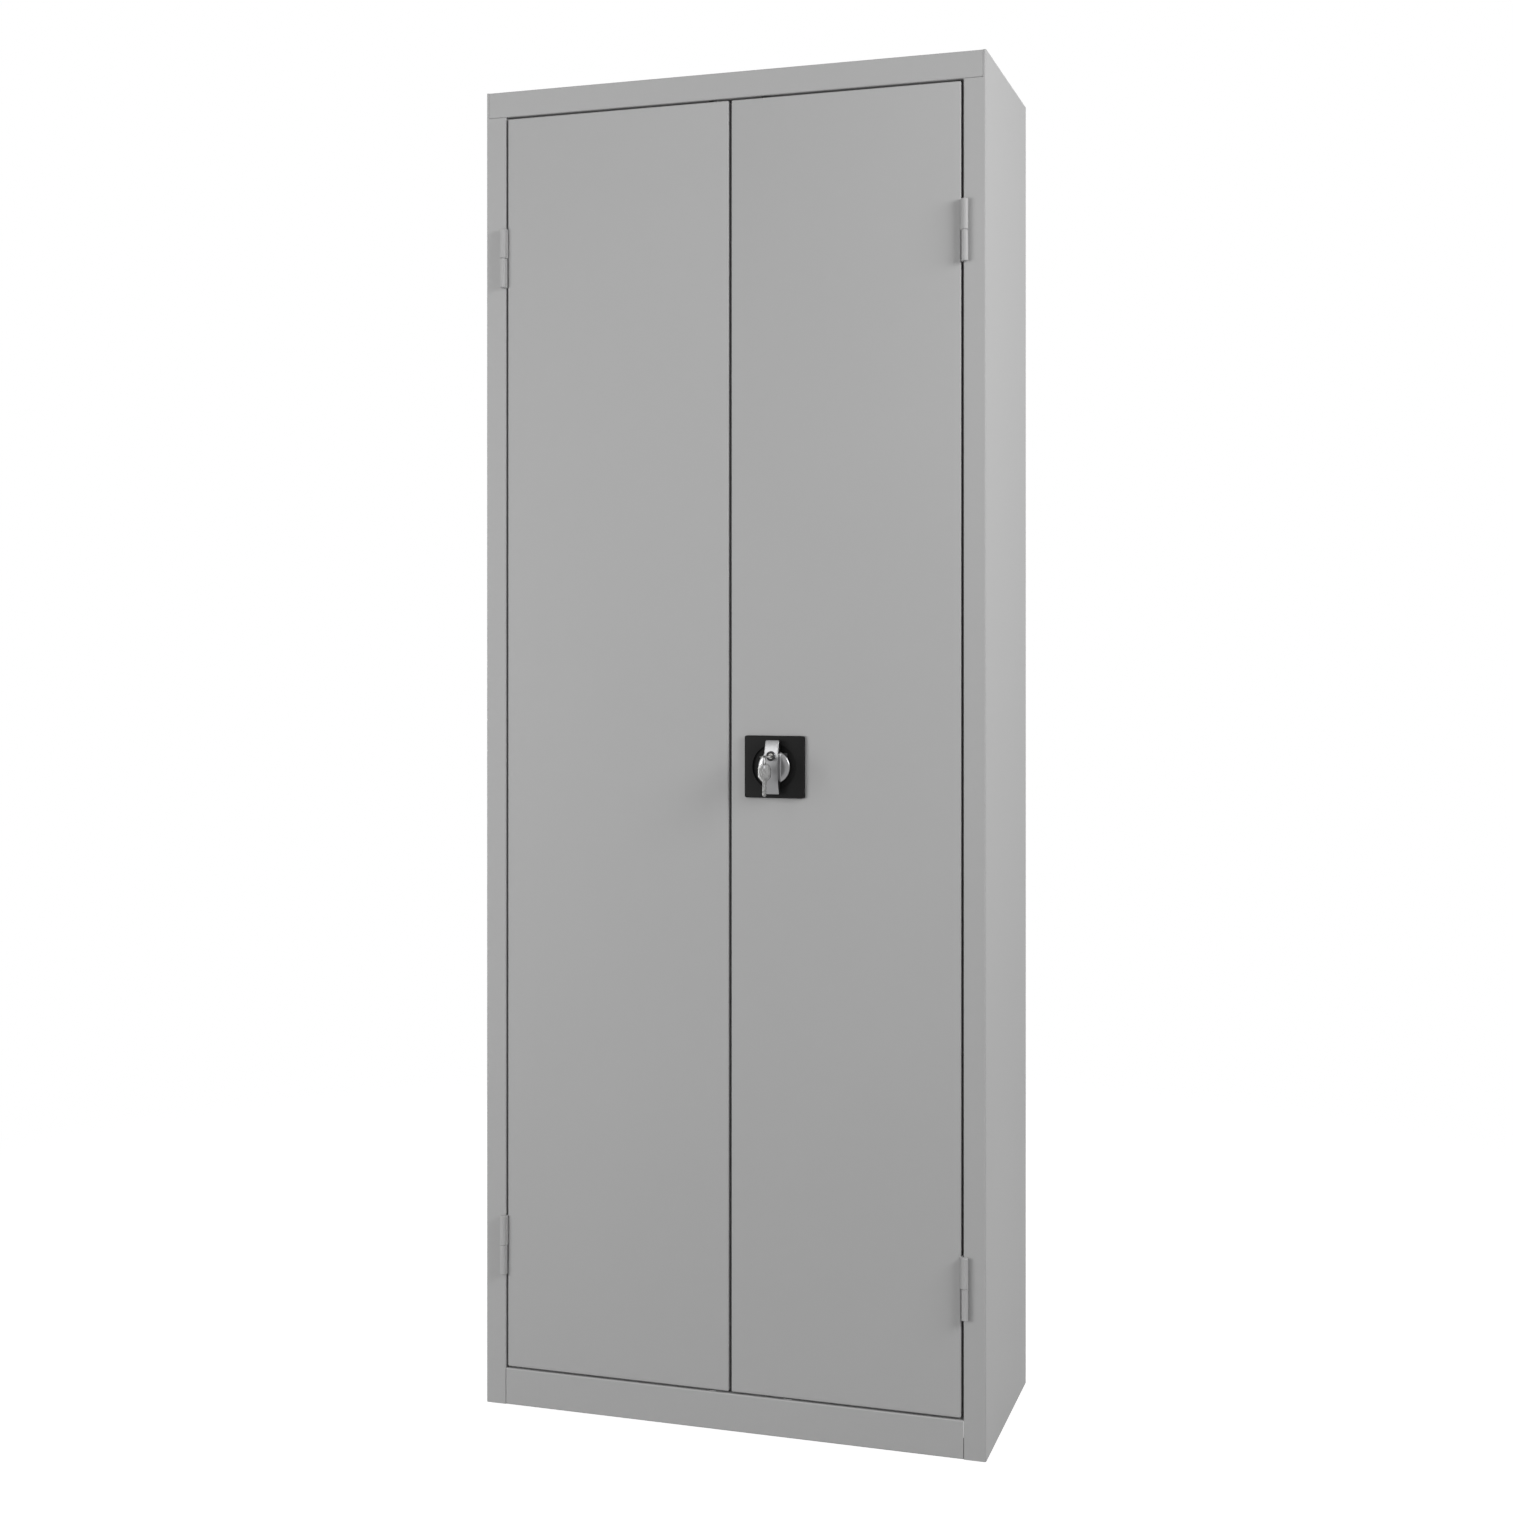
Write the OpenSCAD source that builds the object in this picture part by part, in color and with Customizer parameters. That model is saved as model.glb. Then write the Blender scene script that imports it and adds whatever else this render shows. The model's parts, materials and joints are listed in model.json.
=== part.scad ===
// A steel tool cabinet with two hinged doors, four shelves and a three-point rod lock.
// The frame: X runs across the front, -Y is the front, Z is up, and the origin is the
// middle of the footprint, on the floor. Every size is in millimetres.

/* [Case] */
// Height of the case
case_h = 1980; // [1700:10:2200]
// Width of the case
case_w = 765; // [650:5:1000]
// Depth of the case
case_d = 325; // [305:5:600]
// Thickness of the sheet steel
sheet_t = 1; // [0.8:0.1:1.2]
// Radius of the sheet's bends, on its middle line
bend_r = 1.6; // [1.3:0.1:2]
// Width of each front post
post_w = 32; // [30:1:45]
// Width of the strip of the side that stands beside the header
side_strip_w = 4; // [4:0.5:8]
// Height of the header over the doors
header_h = 38.5; // [36:0.5:60]
// Height of the plinth rail under the doors
plinth_h = 54.5; // [50:0.5:90]
// How far the door rebate lies behind the front
rebate_depth = 26; // [26:0.5:32]
// Width of the stop strip behind the doors
stop_strip_w = 12; // [10:1:16]
// Width of the flanges that hold the back panel
back_flange_w = 20; // [15:1:30]
// Open seam between two welded sheets
seam_gap = 0.3; // [0.2:0.1:0.5]

/* [Doors] */
// Gap round each door
door_gap = 3; // [2.6:0.1:4]
// How far right of the middle the two doors meet
meeting_shift = 5; // [-10:1:10]
// Depth of a door's folded tray
door_depth = 20; // [19:0.5:22]
// Width of the fold along a door's back edges
door_return_w = 15; // [12:1:20]
// Width of the door stiffener's raised web
stiffener_w = 50; // [40:2:70]
// Width of the door stiffener's brims
stiffener_brim_w = 12; // [10:1:16]
// Depth of the door stiffener
stiffener_depth = 14; // [10:0.5:15]
// Distance from a door's end to its stiffener's end
stiffener_end = 30; // [20:1:60]

/* [Hinges] */
// Diameter of a hinge barrel
hinge_d = 9; // [8:0.5:10]
// Length of a closed hinge
hinge_len = 88; // [60:2:120]
// Diameter of the hinge pin
hinge_pin_d = 5; // [4:0.5:5]
// Thickness of the hinge leaves
leaf_t = 2; // [1.5:0.1:2]
// Depth of the hinge leaves behind the front
leaf_depth = 13; // [8:1:16]
// Height of the middle of the lower hinges
low_hinge_z = 241; // [200:1:400]
// Height of the middle of the upper hinges
high_hinge_z = 1728; // [1400:1:1800]
// Running gap round each hinge pin
hinge_play = 0.08; // [0.05:0.01:0.1]
// Gap between the two halves of a hinge
hinge_seam = 0.4; // [0.3:0.1:0.8]

/* [Shelves] */
// Number of the shelf slot that carries the lowest shelf
first_slot = 7; // [5:1:9]
// Number of slots from one shelf to the next
slot_step = 7; // [5:1:8]
// Distance between the slots in the uprights
slot_pitch = 50; // [40:5:60]
// Height of the middle of the lowest slot
slot_base_z = 104; // [95:1:130]
// Width of a slot
slot_w = 3; // [2.6:0.1:4]
// Height of a slot
slot_h = 12; // [10:0.5:15]
// Width of an upright
upright_w = 30; // [24:1:40]
// How far an upright stands off the side
upright_depth = 12; // [10:0.5:15]
// Distance from the stop strips to the front uprights
upright_setback = 10; // [8:1:20]
// Height of a shelf's folded edges
shelf_edge_h = 25; // [20:1:40]
// Gap between a shelf and the uprights or the back panel
shelf_gap = 1.5; // [1:0.1:2]
// Distance from the stop strips to the shelves' front edges
shelf_setback = 9.5; // [9:0.5:30]
// How far a shelf clip stands into the case
clip_reach = 12; // [9:0.5:15]

/* [Lock] */
// Distance from the right door's free edge to the lock's axis
lock_inset = 67.5; // [60:0.5:75]
// Height of the lock's axis
lock_z = 969; // [900:1:1100]
// Size of the square lock plate
plate_size = 90; // [86:1:100]
// Corner radius of the lock plate
plate_corner_r = 3; // [2:0.5:6]
// Thickness of the lock plate
plate_t = 5; // [4.5:0.5:6]
// Floor of the round recess in the lock plate
recess_floor_t = 1.5; // [1:0.1:2]
// Radius of the round recess in the lock plate
recess_r = 33; // [32:0.5:35]
// Radius of the handle's round base
hub_r = 24; // [23:0.5:27]
// Height of the handle's round base over the door
hub_top = 9.5; // [8.5:0.5:11]
// Length of the handle's grip
grip_len = 78; // [70:1:84]
// Width of the handle's grip
grip_w = 20.5; // [18:0.5:24]
// Thickness of the grip at its ends
grip_end_t = 5; // [4.5:0.5:8]
// How much thicker the grip is at its middle
grip_rise = 9; // [6:0.5:10]
// Diameter of the spindle that the handle turns
spindle_d = 12; // [10:0.5:14]
// Running gap round the spindle
spindle_play = 0.1; // [0.05:0.01:0.2]

/* [Key lock] */
// Distance from the spindle to the key lock's axis
cylinder_offset = 16.5; // [15.5:0.5:17.5]
// Diameter of the plug that the key turns
plug_d = 8; // [7.6:0.1:8.4]
// Running gap round the plug
plug_play = 0.06; // [0.05:0.01:0.1]
// Wall of the key lock's housing
housing_wall = 1; // [0.8:0.1:1.2]
// Radius of the key lock's collar
collar_r = 7; // [6.5:0.1:7.5]
// Length of the bolt tongue, from the key lock's axis
tongue_len = 19; // [18:0.5:19.5]
// Width of the bolt tongue
tongue_w = 7; // [6:0.5:8]
// Width of a key's blade
blade_w = 5.6; // [5:0.1:6]
// Length of a key's blade
blade_len = 22; // [20:1:28]
// Thickness of a key
key_t = 2; // [1.6:0.1:2.2]
// Width of a key's bow
bow_w = 18.5; // [16:0.5:22]
// Length of a key's bow
bow_len = 26; // [22:0.5:28]
// Diameter of the hole in a key's bow
bow_hole_d = 6.6; // [6.2:0.1:7]
// Rim left between a key's hole and its end
bow_rim = 1.7; // [1.5:0.1:2]
// Inner radius of the key ring
ring_r = 6; // [5.8:0.1:6.4]
// Diameter of the key ring's wire
ring_wire_d = 1.5; // [1.2:0.1:1.6]

/* [Rod drive] */
// Module of the pinion and the racks
gear_module = 1.5; // [1.4:0.02:1.6]
// Number of teeth on the pinion
pinion_teeth = 16; // [14:2:18]
// Thickness of the pinion
pinion_t = 8; // [6:0.5:9]
// Width of the racks
rack_w = 6; // [5:0.5:7]
// Diameter of the lock rods
rod_d = 8; // [7:0.5:9]
// Depth of the rods' axes behind the front
rod_depth = 10; // [9.5:0.1:10.5]
// Side play between rods, bolts and their guides
rod_play = 0.2; // [0.1:0.05:0.3]
// How far a withdrawn rod stands out of its door
rod_proud = 1; // [0.5:0.1:1.5]
// Travel of the left door's slide bolts
bolt_travel = 16; // [12:1:20]
// Distance from the left door's free edge to its slide bolts
bolt_inset = 28; // [25:1:45]
// Length of a slide bolt
bolt_len = 150; // [130:5:200]

/* [Hidden] */
$fn = 64;

paint = "#a3a3a3";
bright_zinc = "#c4c6c8";
cast_silver = "#cfd0d2";
black_plastic = "#232323";
dark_steel = "#4a4b4d";
nylon = "#d9d6cc";
rubber_black = "#1c1c1c";

// Case levels and faces
front_y = -case_d / 2;
back_y = case_d / 2;
side_x = case_w / 2;
mid_t = sheet_t / 2;
header_z = case_h - header_h;
rebate_x = side_x - post_w;
stop_y = front_y + rebate_depth;
opening_x = rebate_x - stop_strip_w;
inner_x = side_x - sheet_t;
overlap = 0.5;
header_lip_y = front_y + mid_t + bend_r + overlap;
fit_gap = 0.1;
past = 1;

// Door edges
door_low_z = plinth_h + door_gap;
door_high_z = header_z - door_gap;
door_back_y = front_y + door_depth;
left_door_x = [-rebate_x + door_gap, meeting_shift - door_gap / 2];
right_door_x = [meeting_shift + door_gap / 2, rebate_x - door_gap];
skin_back_y = front_y + sheet_t;

// Hinge axes
hinge_r = hinge_d / 2;
hinge_x = rebate_x + hinge_r - door_gap / 2;
hinge_y = front_y - hinge_r;
half_leaf_h = (hinge_len - hinge_seam) / 2;
pin_cover = 6;
pin_reach = half_leaf_h - pin_cover;
hinge_levels = [low_hinge_z, high_hinge_z];

// Lock: x right, y up and z out of the door, from the lock's axis on the front face
lock_x = right_door_x[0] + lock_inset;
pitch_r = gear_module * pinion_teeth / 2;
pressure_angle = 20;
base_r = pitch_r * cos(pressure_angle);
tooth_addendum = 0.8 * gear_module;
tooth_dedendum = gear_module;
tooth_backlash = 0.2;
quarter_travel = pitch_r * PI / 2;
rod_x = pitch_r + tooth_dedendum + rack_w / 2;
rod_y = front_y + rod_depth;

// Gear case, from the door's skin backwards
skin_hole_gap = 3;
plate_hole_gap = 0.5;
case_wall = 1.5;
case_front_z = -sheet_t;
case_inset = 1.6;
case_back_z = case_inset - door_depth;
cover_t = 1.3;
rack_side_gap = 0.6;
rack_end_gap = 1;
rack_lead = 2.1;
case_room_x = rod_x + max(rod_d, rack_w) / 2 + rack_side_gap;
rack_high = rack_lead * gear_module * PI;
rack_low = quarter_travel + rack_high;
case_room_y = rack_low + rack_end_gap;
ear_w = 12;
ear_t = 3;
pillar_r = 4;
pillar_gap = 5;
pillar_y = pitch_r + tooth_addendum + pillar_r + pillar_gap;
screw_r = 2;
screw_head_r = 3.5;
screw_play = 0.15;
screw_bite = 0.05;
cover_screw_r = 1.6;
cover_screw_len = 7.5;
screw_land = 5;
lock_screw_x = case_room_x + case_wall + ear_w / 2;
lock_screw_y = sqrt(pow(recess_r + screw_land, 2) - pow(lock_screw_x, 2));

// Handle and key lock
neck_r = 9;
neck_gap = 0.2;
hub_sink = 0.4;
hub_rim_t = 2.4;
hub_low = plate_t - hub_sink;
grip_r = (grip_len * grip_len / 4 + grip_rise * grip_rise) / (2 * grip_rise);
grip_top = hub_top + grip_end_t + grip_rise;
collar_t = 3;
collar_rise = 1.4;
lock_face = grip_top - cylinder_offset * cylinder_offset / (2 * grip_r) + collar_rise;
housing_r = plug_d / 2 + plug_play + housing_wall;
housing_low = hub_low + fit_gap;
plug_low = hub_low - fit_gap;
plug_end_t = 1;
slot_floor = plug_low + plug_end_t;
slot_play = 0.2;
tongue_gap = 0.7;
tongue_low = recess_floor_t + tongue_gap;
tongue_t = 2;
tail_w = 3.6;
tail_end = 0.2;
plug_sink = 0.3;
notch_skin = 0.5;
notch_gap = 0.9;
notch_side_gap = 0.3;
spindle_bore = 12;
spindle_tail = 0.2;
spindle_nose = 0.8;
spindle_low = case_back_z - cover_t - spindle_tail;
spindle_top = hub_top + spindle_nose;

// Keys and ring: the key enters along z, level with the key lock's axis
blade_tip = slot_floor + slot_play;
bow_start = blade_tip + blade_len;
rim_z = bow_start + bow_len - bow_rim / 2;
ring_lift = 0.4;
ring_mid_r = ring_r + ring_wire_d / 2;
ring_y = cylinder_offset + key_t / 2 + ring_lift - ring_r;
spare_top = ring_y - ring_r + ring_lift + bow_rim;

// Shelf supports
shelf_slots = [for (i = [0 : 3]) first_slot + i * slot_step];
slot_count = floor((header_z - slot_base_z - slot_h) / slot_pitch);
upright_x = inner_x - upright_depth;
front_upright_y = stop_y + upright_setback + upright_w / 2;
upright_back_gap = 10;
rear_upright_y = back_y - 2 * sheet_t - upright_back_gap - upright_w / 2;
shelf_half_w = upright_x - shelf_gap;
shelf_front_y = stop_y + shelf_setback;
shelf_back_y = back_y - 2 * sheet_t - shelf_gap;
clip_slack = 0.5;
clip_t = slot_w - clip_slack;
clip_tip_t = 3;
clip_foot = 10;
clip_hook = 4;
clip_hook_t = 2;
clip_play = 0.3;

// Slide bolts of the left door
bolt_x = left_door_x[1] - bolt_inset;
guide_h = 14;
guide_w = 18;
guide_wall = 3;
guide_end = 4;
rod_guide_inset = 90;
rod_guide_shift = 60;
bolt_tail = 9;
bolt_guide_drops = [
    sheet_t + guide_end + guide_h / 2,
    bolt_len - rod_proud - bolt_travel - bolt_tail - guide_h / 2
];
knob_rim = 2;
knob_r = rod_d / 2 + knob_rim;
knob_neck_cut = 0.5;
knob_neck_r = rod_d / 2 - knob_neck_cut;
knob_t = 4;
knob_out = 5;
knob_y = door_back_y + knob_out;
knob_stop_gap = 1;
knob_drop = rod_proud + bolt_guide_drops[0] + guide_h / 2 + bolt_travel + knob_r + knob_stop_gap;

// Keeper plates and their slots
keeper_t = 3;
keeper_slot = [14, 11];
keeper_w = 34;

function sign_of(v) = [sign(v[0]), sign(v[1])];

// One flat stretch of a folded sheet, from one point of its middle line to the next
module flat_stretch(a, b) {
    across = [-sign_of(b - a)[1], sign_of(b - a)[0]] * mid_t;
    polygon([a + across, b + across, b - across, a - across]);
}

// A quarter bend of a folded sheet at one corner of its middle line
module quarter_bend(before, corner, after) {
    arrive = sign_of(corner - before);
    leave = sign_of(after - corner);
    centre = corner - arrive * bend_r + leave * bend_r;
    far = bend_r + sheet_t;
    intersection() {
        translate(centre)
            difference() {
                circle(r = bend_r + mid_t);
                circle(r = bend_r - mid_t);
            }
        polygon([
            centre,
            centre + arrive * far,
            centre + arrive * far - leave * far,
            centre - leave * far
        ]);
    }
}

// The flat stretches of a folded sheet whose middle line runs square-cornered through the points
module fold_flats(points) {
    last = len(points) - 1;
    for (i = [0 : last - 1]) {
        way = sign_of(points[i + 1] - points[i]);
        start = points[i] + way * (i > 0 ? bend_r : 0);
        end = points[i + 1] - way * (i + 1 < last ? bend_r : 0);
        flat_stretch(start, end);
    }
}

// The bends of the same sheet
module fold_bends(points) {
    for (i = [1 : len(points) - 2])
        quarter_bend(points[i - 1], points[i], points[i + 1]);
}

// A folded sheet that stands between two heights, drawn in plan
module standing_fold(points, low_z, high_z) {
    translate([0, 0, low_z]) {
        linear_extrude(high_z - low_z)
            fold_flats(points);
        linear_extrude(high_z - low_z)
            fold_bends(points);
    }
}

// A folded sheet that lies across the case, drawn as [y, z] and reaching half_w each way
module crossing_fold(points, half_w) {
    rotate([90, 0, 90])
        standing_fold(points, -half_w, half_w);
}

// A plain block between two corners
module block(low, high) {
    translate(low)
        cube(high - low);
}

// A rectangle between two corners
module plan_block(low, high) {
    translate(low)
        square(high - low);
}

// A hole or a rod along z between two heights
module upright_rod(x, y, r, low_z, high_z) {
    translate([x, y, low_z])
        cylinder(r = r, h = high_z - low_z);
}

// Moves a child from the lock's own frame to the right door
module at_lock() {
    translate([lock_x, front_y, lock_z])
        rotate([90, 0, 0])
            children();
}

// A child twice: once as drawn, and once as its mirror image on the other side
module both_sides() {
    children();
    mirror([1, 0, 0])
        children();
}

// The right side with its rear flange, its bend and its front post
module side_sheet() {
    mid_x = side_x - mid_t;
    mid_front = front_y + mid_t;
    mid_back = back_y - mid_t;
    return_x = rebate_x + mid_t;
    strip_x = side_x - side_strip_w;
    mid_stop = stop_y + mid_t;
    join_y = mid_stop - bend_r - overlap;
    standing_fold([
        [side_x - back_flange_w, mid_back],
        [mid_x, mid_back],
        [mid_x, mid_front],
        [strip_x, mid_front]
    ], 0, case_h);
    standing_fold([
        [strip_x + overlap, mid_front],
        [return_x, mid_front],
        [return_x, join_y + overlap]
    ], 0, header_z - seam_gap);
    standing_fold([
        [return_x, join_y],
        [return_x, mid_stop],
        [opening_x, mid_stop]
    ], plinth_h + seam_gap, header_z - seam_gap);
}

module right_side() {
    color(paint)
        side_sheet();
}

module left_side() {
    color(paint)
        mirror([1, 0, 0])
            side_sheet();
}

// The back sheet lies inside the rear flanges of the sides and laps the floor's rear fold
module back_panel() {
    half_w = inner_x - bend_r + mid_t - 0.2;
    face_y = back_y - sheet_t;
    lap = 30;
    color(paint)
        block([-half_w, face_y - sheet_t, plinth_h - lap], [half_w, face_y, case_h - sheet_t - bend_r]);
}

// The roof folds down into the header, the sides and the rear: levels count down from the top
module top_panel() {
    header_half = side_x - side_strip_w - seam_gap;
    roof_half = inner_x - fit_gap;
    rear_half = side_x - back_flange_w - seam_gap;
    mid_front = front_y + mid_t;
    roof_front = front_y + sheet_t + bend_r;
    roof_back = back_y - sheet_t - bend_r;
    color(paint)
        translate([0, 0, case_h]) {
            crossing_fold([
                [header_lip_y, mid_t - header_h],
                [mid_front, mid_t - header_h],
                [mid_front, -mid_t],
                [roof_back, -mid_t]
            ], header_half);
            crossing_fold([
                [roof_back - overlap, -mid_t],
                [back_y - mid_t, -mid_t],
                [back_y - mid_t, -header_h]
            ], rear_half);
            both_sides() {
                block([header_half - overlap, roof_front, -sheet_t], [roof_half, roof_back, 0]);
                block(
                    [roof_half - sheet_t, roof_front, sheet_t - header_h],
                    [roof_half, roof_back, -sheet_t]
                );
            }
        }
}

// A flat strip welded to the header's lower bend: it takes the keeper slots
module header_lip() {
    header_half = side_x - side_strip_w - seam_gap;
    color(paint)
        difference() {
            block(
                [-header_half, header_lip_y, header_z],
                [header_half, stop_y + sheet_t, header_z + sheet_t]
            );
            for (x = [upper_rod_x(), bolt_x])
                keeper_hole(x, header_z);
        }
}

// The stop strip welded under it meets the upper edges of the closed doors
module header_stop() {
    stop_half = opening_x - seam_gap;
    color(paint)
        block([-stop_half, stop_y, header_z - stop_strip_w], [stop_half, stop_y + sheet_t, header_z]);
}

// The floor sheet folds down into the plinth rail, the rear fold and the foot round the base
module floor_panel() {
    rail_half = rebate_x - seam_gap;
    floor_half = inner_x - fit_gap;
    mid_front = front_y + mid_t;
    mid_floor = plinth_h - mid_t;
    mid_rear = back_y - 2 * sheet_t - mid_t;
    foot_w = 15;
    side_foot_gap = 2;
    side_y = stop_y + sheet_t + bend_r;
    rear_y = mid_rear - bend_r;
    color(paint)
        difference() {
            union() {
                crossing_fold([
                    [mid_front + foot_w, mid_t],
                    [mid_front, mid_t],
                    [mid_front, mid_floor],
                    [mid_rear, mid_floor],
                    [mid_rear, mid_t],
                    [mid_rear - foot_w, mid_t]
                ], rail_half);
                linear_extrude(sheet_t)
                    difference() {
                        union() {
                            plan_block([-rail_half, mid_front + bend_r], [rail_half, rear_y]);
                            plan_block([-floor_half, side_y], [floor_half, rear_y]);
                        }
                        plan_block(
                            [foot_w - rail_half, side_y + side_foot_gap],
                            [rail_half - foot_w, rear_y - 2 * foot_w]
                        );
                    }
                both_sides()
                    block([rail_half - overlap, side_y, plinth_h - sheet_t], [floor_half, rear_y, plinth_h]);
                both_sides()
                    block([floor_half - sheet_t, side_y, 0], [floor_half, rear_y, plinth_h]);
            }
            for (x = [lower_rod_x(), bolt_x])
                keeper_hole(x, plinth_h - sheet_t);
        }
}

// The slot that a lock rod or a slide bolt enters, through one sheet
module keeper_hole(x, z) {
    block(
        [x - keeper_slot[0] / 2, rod_y - keeper_slot[1] / 2, z - past],
        [x + keeper_slot[0] / 2, rod_y + keeper_slot[1] / 2, z + sheet_t + past]
    );
}

// A plate that stiffens the sheet round one keeper slot
module keeper(x, low_z) {
    near_y = front_y + sheet_t + bend_r;
    far_y = stop_y - bend_r;
    difference() {
        block([x - keeper_w / 2, near_y, low_z], [x + keeper_w / 2, far_y, low_z + keeper_t]);
        block(
            [x - keeper_slot[0] / 2, rod_y - keeper_slot[1] / 2, low_z - past],
            [x + keeper_slot[0] / 2, rod_y + keeper_slot[1] / 2, low_z + keeper_t + past]
        );
    }
}

module rod_keepers() {
    color(bright_zinc) {
        keeper(upper_rod_x(), header_z + sheet_t);
        keeper(bolt_x, header_z + sheet_t);
        keeper(lower_rod_x(), plinth_h - sheet_t - keeper_t);
        keeper(bolt_x, plinth_h - sheet_t - keeper_t);
    }
}

// Rubber pads that the closed doors meet
module door_buffers() {
    pad_r = 4.5;
    pad_gap = 0.4;
    side_pad_inset = 0.9;
    left_pad_inset = 4;
    right_pad_inset = 8;
    pad_inset = 120;
    pad_len = stop_y - door_back_y - pad_gap;
    side_pad_x = opening_x + pad_r + side_pad_inset;
    head_pad_z = header_z - stop_strip_w / 2;
    head_pad_x = [left_door_x[1] - left_pad_inset, right_door_x[0] + right_pad_inset];
    pad_levels = [door_low_z + pad_inset, (door_low_z + door_high_z) / 2, door_high_z - pad_inset];
    color(rubber_black) {
        for (x = [-side_pad_x, side_pad_x], z = pad_levels)
            translate([x, stop_y, z])
                rotate([90, 0, 0])
                    cylinder(r = pad_r, h = pad_len);
        for (x = head_pad_x)
            translate([x, stop_y, head_pad_z])
                rotate([90, 0, 0])
                    cylinder(r = pad_r, h = pad_len);
    }
}

function shelf_z(i) = slot_base_z + shelf_slots[i] * slot_pitch;

// A shelf: a tray turned over, with a hem along its front edge
module shelf(i) {
    hem_w = 10;
    hem_gap = 1;
    fold_gap = 2;
    mid_top = shelf_edge_h - mid_t;
    mid_front = shelf_front_y + mid_t;
    mid_back = shelf_back_y - mid_t;
    end_half = shelf_half_w - sheet_t;
    color(paint)
        translate([0, 0, shelf_z(i)]) {
            crossing_fold([
                [mid_front + hem_w, mid_t],
                [mid_front, mid_t],
                [mid_front, mid_top],
                [mid_back, mid_top],
                [mid_back, 0]
            ], shelf_half_w);
            both_sides()
                block(
                    [end_half, mid_front + hem_w + hem_gap, 0],
                    [shelf_half_w, mid_back - fold_gap, mid_top]
                );
        }
}

module shelf_1() { shelf(0); }
module shelf_2() { shelf(1); }
module shelf_3() { shelf(2); }
module shelf_4() { shelf(3); }

// The right-hand upright at one depth: a channel with a row of slots for the clips
module upright(mid_y) {
    web_x = upright_x + mid_t;
    difference() {
        standing_fold([
            [inner_x, mid_y - upright_w / 2 + mid_t],
            [web_x, mid_y - upright_w / 2 + mid_t],
            [web_x, mid_y + upright_w / 2 - mid_t],
            [inner_x, mid_y + upright_w / 2 - mid_t]
        ], plinth_h, header_z - stop_strip_w);
        for (n = [0 : slot_count - 1])
            translate([upright_x - past, mid_y - slot_w / 2, slot_base_z + n * slot_pitch - slot_h / 2])
                cube([sheet_t + 2 * past, slot_w, slot_h]);
    }
}

module front_right_upright() { color(bright_zinc) upright(front_upright_y); }
module rear_right_upright() { color(bright_zinc) upright(rear_upright_y); }
module front_left_upright() { color(bright_zinc) mirror([1, 0, 0]) upright(front_upright_y); }
module rear_left_upright() { color(bright_zinc) mirror([1, 0, 0]) upright(rear_upright_y); }

// A clip: it hooks behind the upright's web and carries a shelf's corner
module shelf_clip() {
    neck = sheet_t + clip_play;
    neck_low = fit_gap - slot_h / 2;
    hook_low = neck_low - clip_hook;
    rotate([90, 0, 0])
        translate([0, 0, -clip_t / 2])
            linear_extrude(clip_t)
                polygon([
                    [-clip_reach, 0],
                    [-clip_reach, -clip_tip_t],
                    [-1, -clip_foot],
                    [-fit_gap, -clip_foot],
                    [-fit_gap, neck_low],
                    [neck, neck_low],
                    [neck, hook_low],
                    [neck + clip_hook_t, hook_low],
                    [neck + clip_hook_t, 0]
                ]);
}

module shelf_clips() {
    color(bright_zinc)
        both_sides()
            for (i = [0 : 3], y = [front_upright_y, rear_upright_y])
                translate([upright_x, y, shelf_z(i)])
                    shelf_clip();
}

// One half of a right-hand hinge: a barrel with a leaf that reaches into the door gap
module hinge_half(base_z, leaf_x, bore_r, bore_len) {
    difference() {
        union() {
            upright_rod(hinge_x, hinge_y, hinge_r, base_z, base_z + half_leaf_h);
            block([leaf_x, hinge_y, base_z], [leaf_x + leaf_t, front_y + leaf_depth, base_z + half_leaf_h]);
        }
        upright_rod(hinge_x, hinge_y, bore_r, base_z - past, base_z + bore_len);
    }
}

// The lower halves are welded to the posts and hold the pins
module hinge_posts() {
    color(paint)
        both_sides()
            for (z = hinge_levels)
                hinge_half(z - hinge_len / 2, rebate_x - leaf_t, hinge_pin_d / 2, half_leaf_h + past);
}

module hinge_pins() {
    color(bright_zinc)
        both_sides()
            for (z = hinge_levels)
                upright_rod(
                    hinge_x, hinge_y, hinge_pin_d / 2,
                    z - hinge_len / 2, z + hinge_seam / 2 + pin_reach
                );
}

// The upper halves are welded to the door and lift off the pins
module door_hinge_leaves() {
    for (z = hinge_levels)
        hinge_half(z + hinge_seam / 2, rebate_x - door_gap, hinge_pin_d / 2 + hinge_play, pin_reach + past);
}

module right_hinge_leaves() { color(paint) door_hinge_leaves(); }
module left_hinge_leaves() { color(paint) mirror([1, 0, 0]) door_hinge_leaves(); }

// A door: a shallow tray of sheet steel, open at the back
module door_tray(x) {
    mid_front = front_y + mid_t;
    mid_back = door_back_y - mid_t;
    standing_fold([
        [x[0] + door_return_w, mid_back],
        [x[0] + mid_t, mid_back],
        [x[0] + mid_t, mid_front],
        [x[1] - mid_t, mid_front],
        [x[1] - mid_t, mid_back],
        [x[1] - door_return_w, mid_back]
    ], door_low_z, door_high_z);
    inset = sheet_t + bend_r;
    for (z = [door_low_z, door_high_z - sheet_t]) {
        block([x[0] + inset, front_y + mid_t, z], [x[1] - inset, door_back_y, z + sheet_t]);
        block([x[0] + mid_t, front_y + inset, z], [x[1] - mid_t, door_back_y - inset, z + sheet_t]);
    }
}

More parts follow.
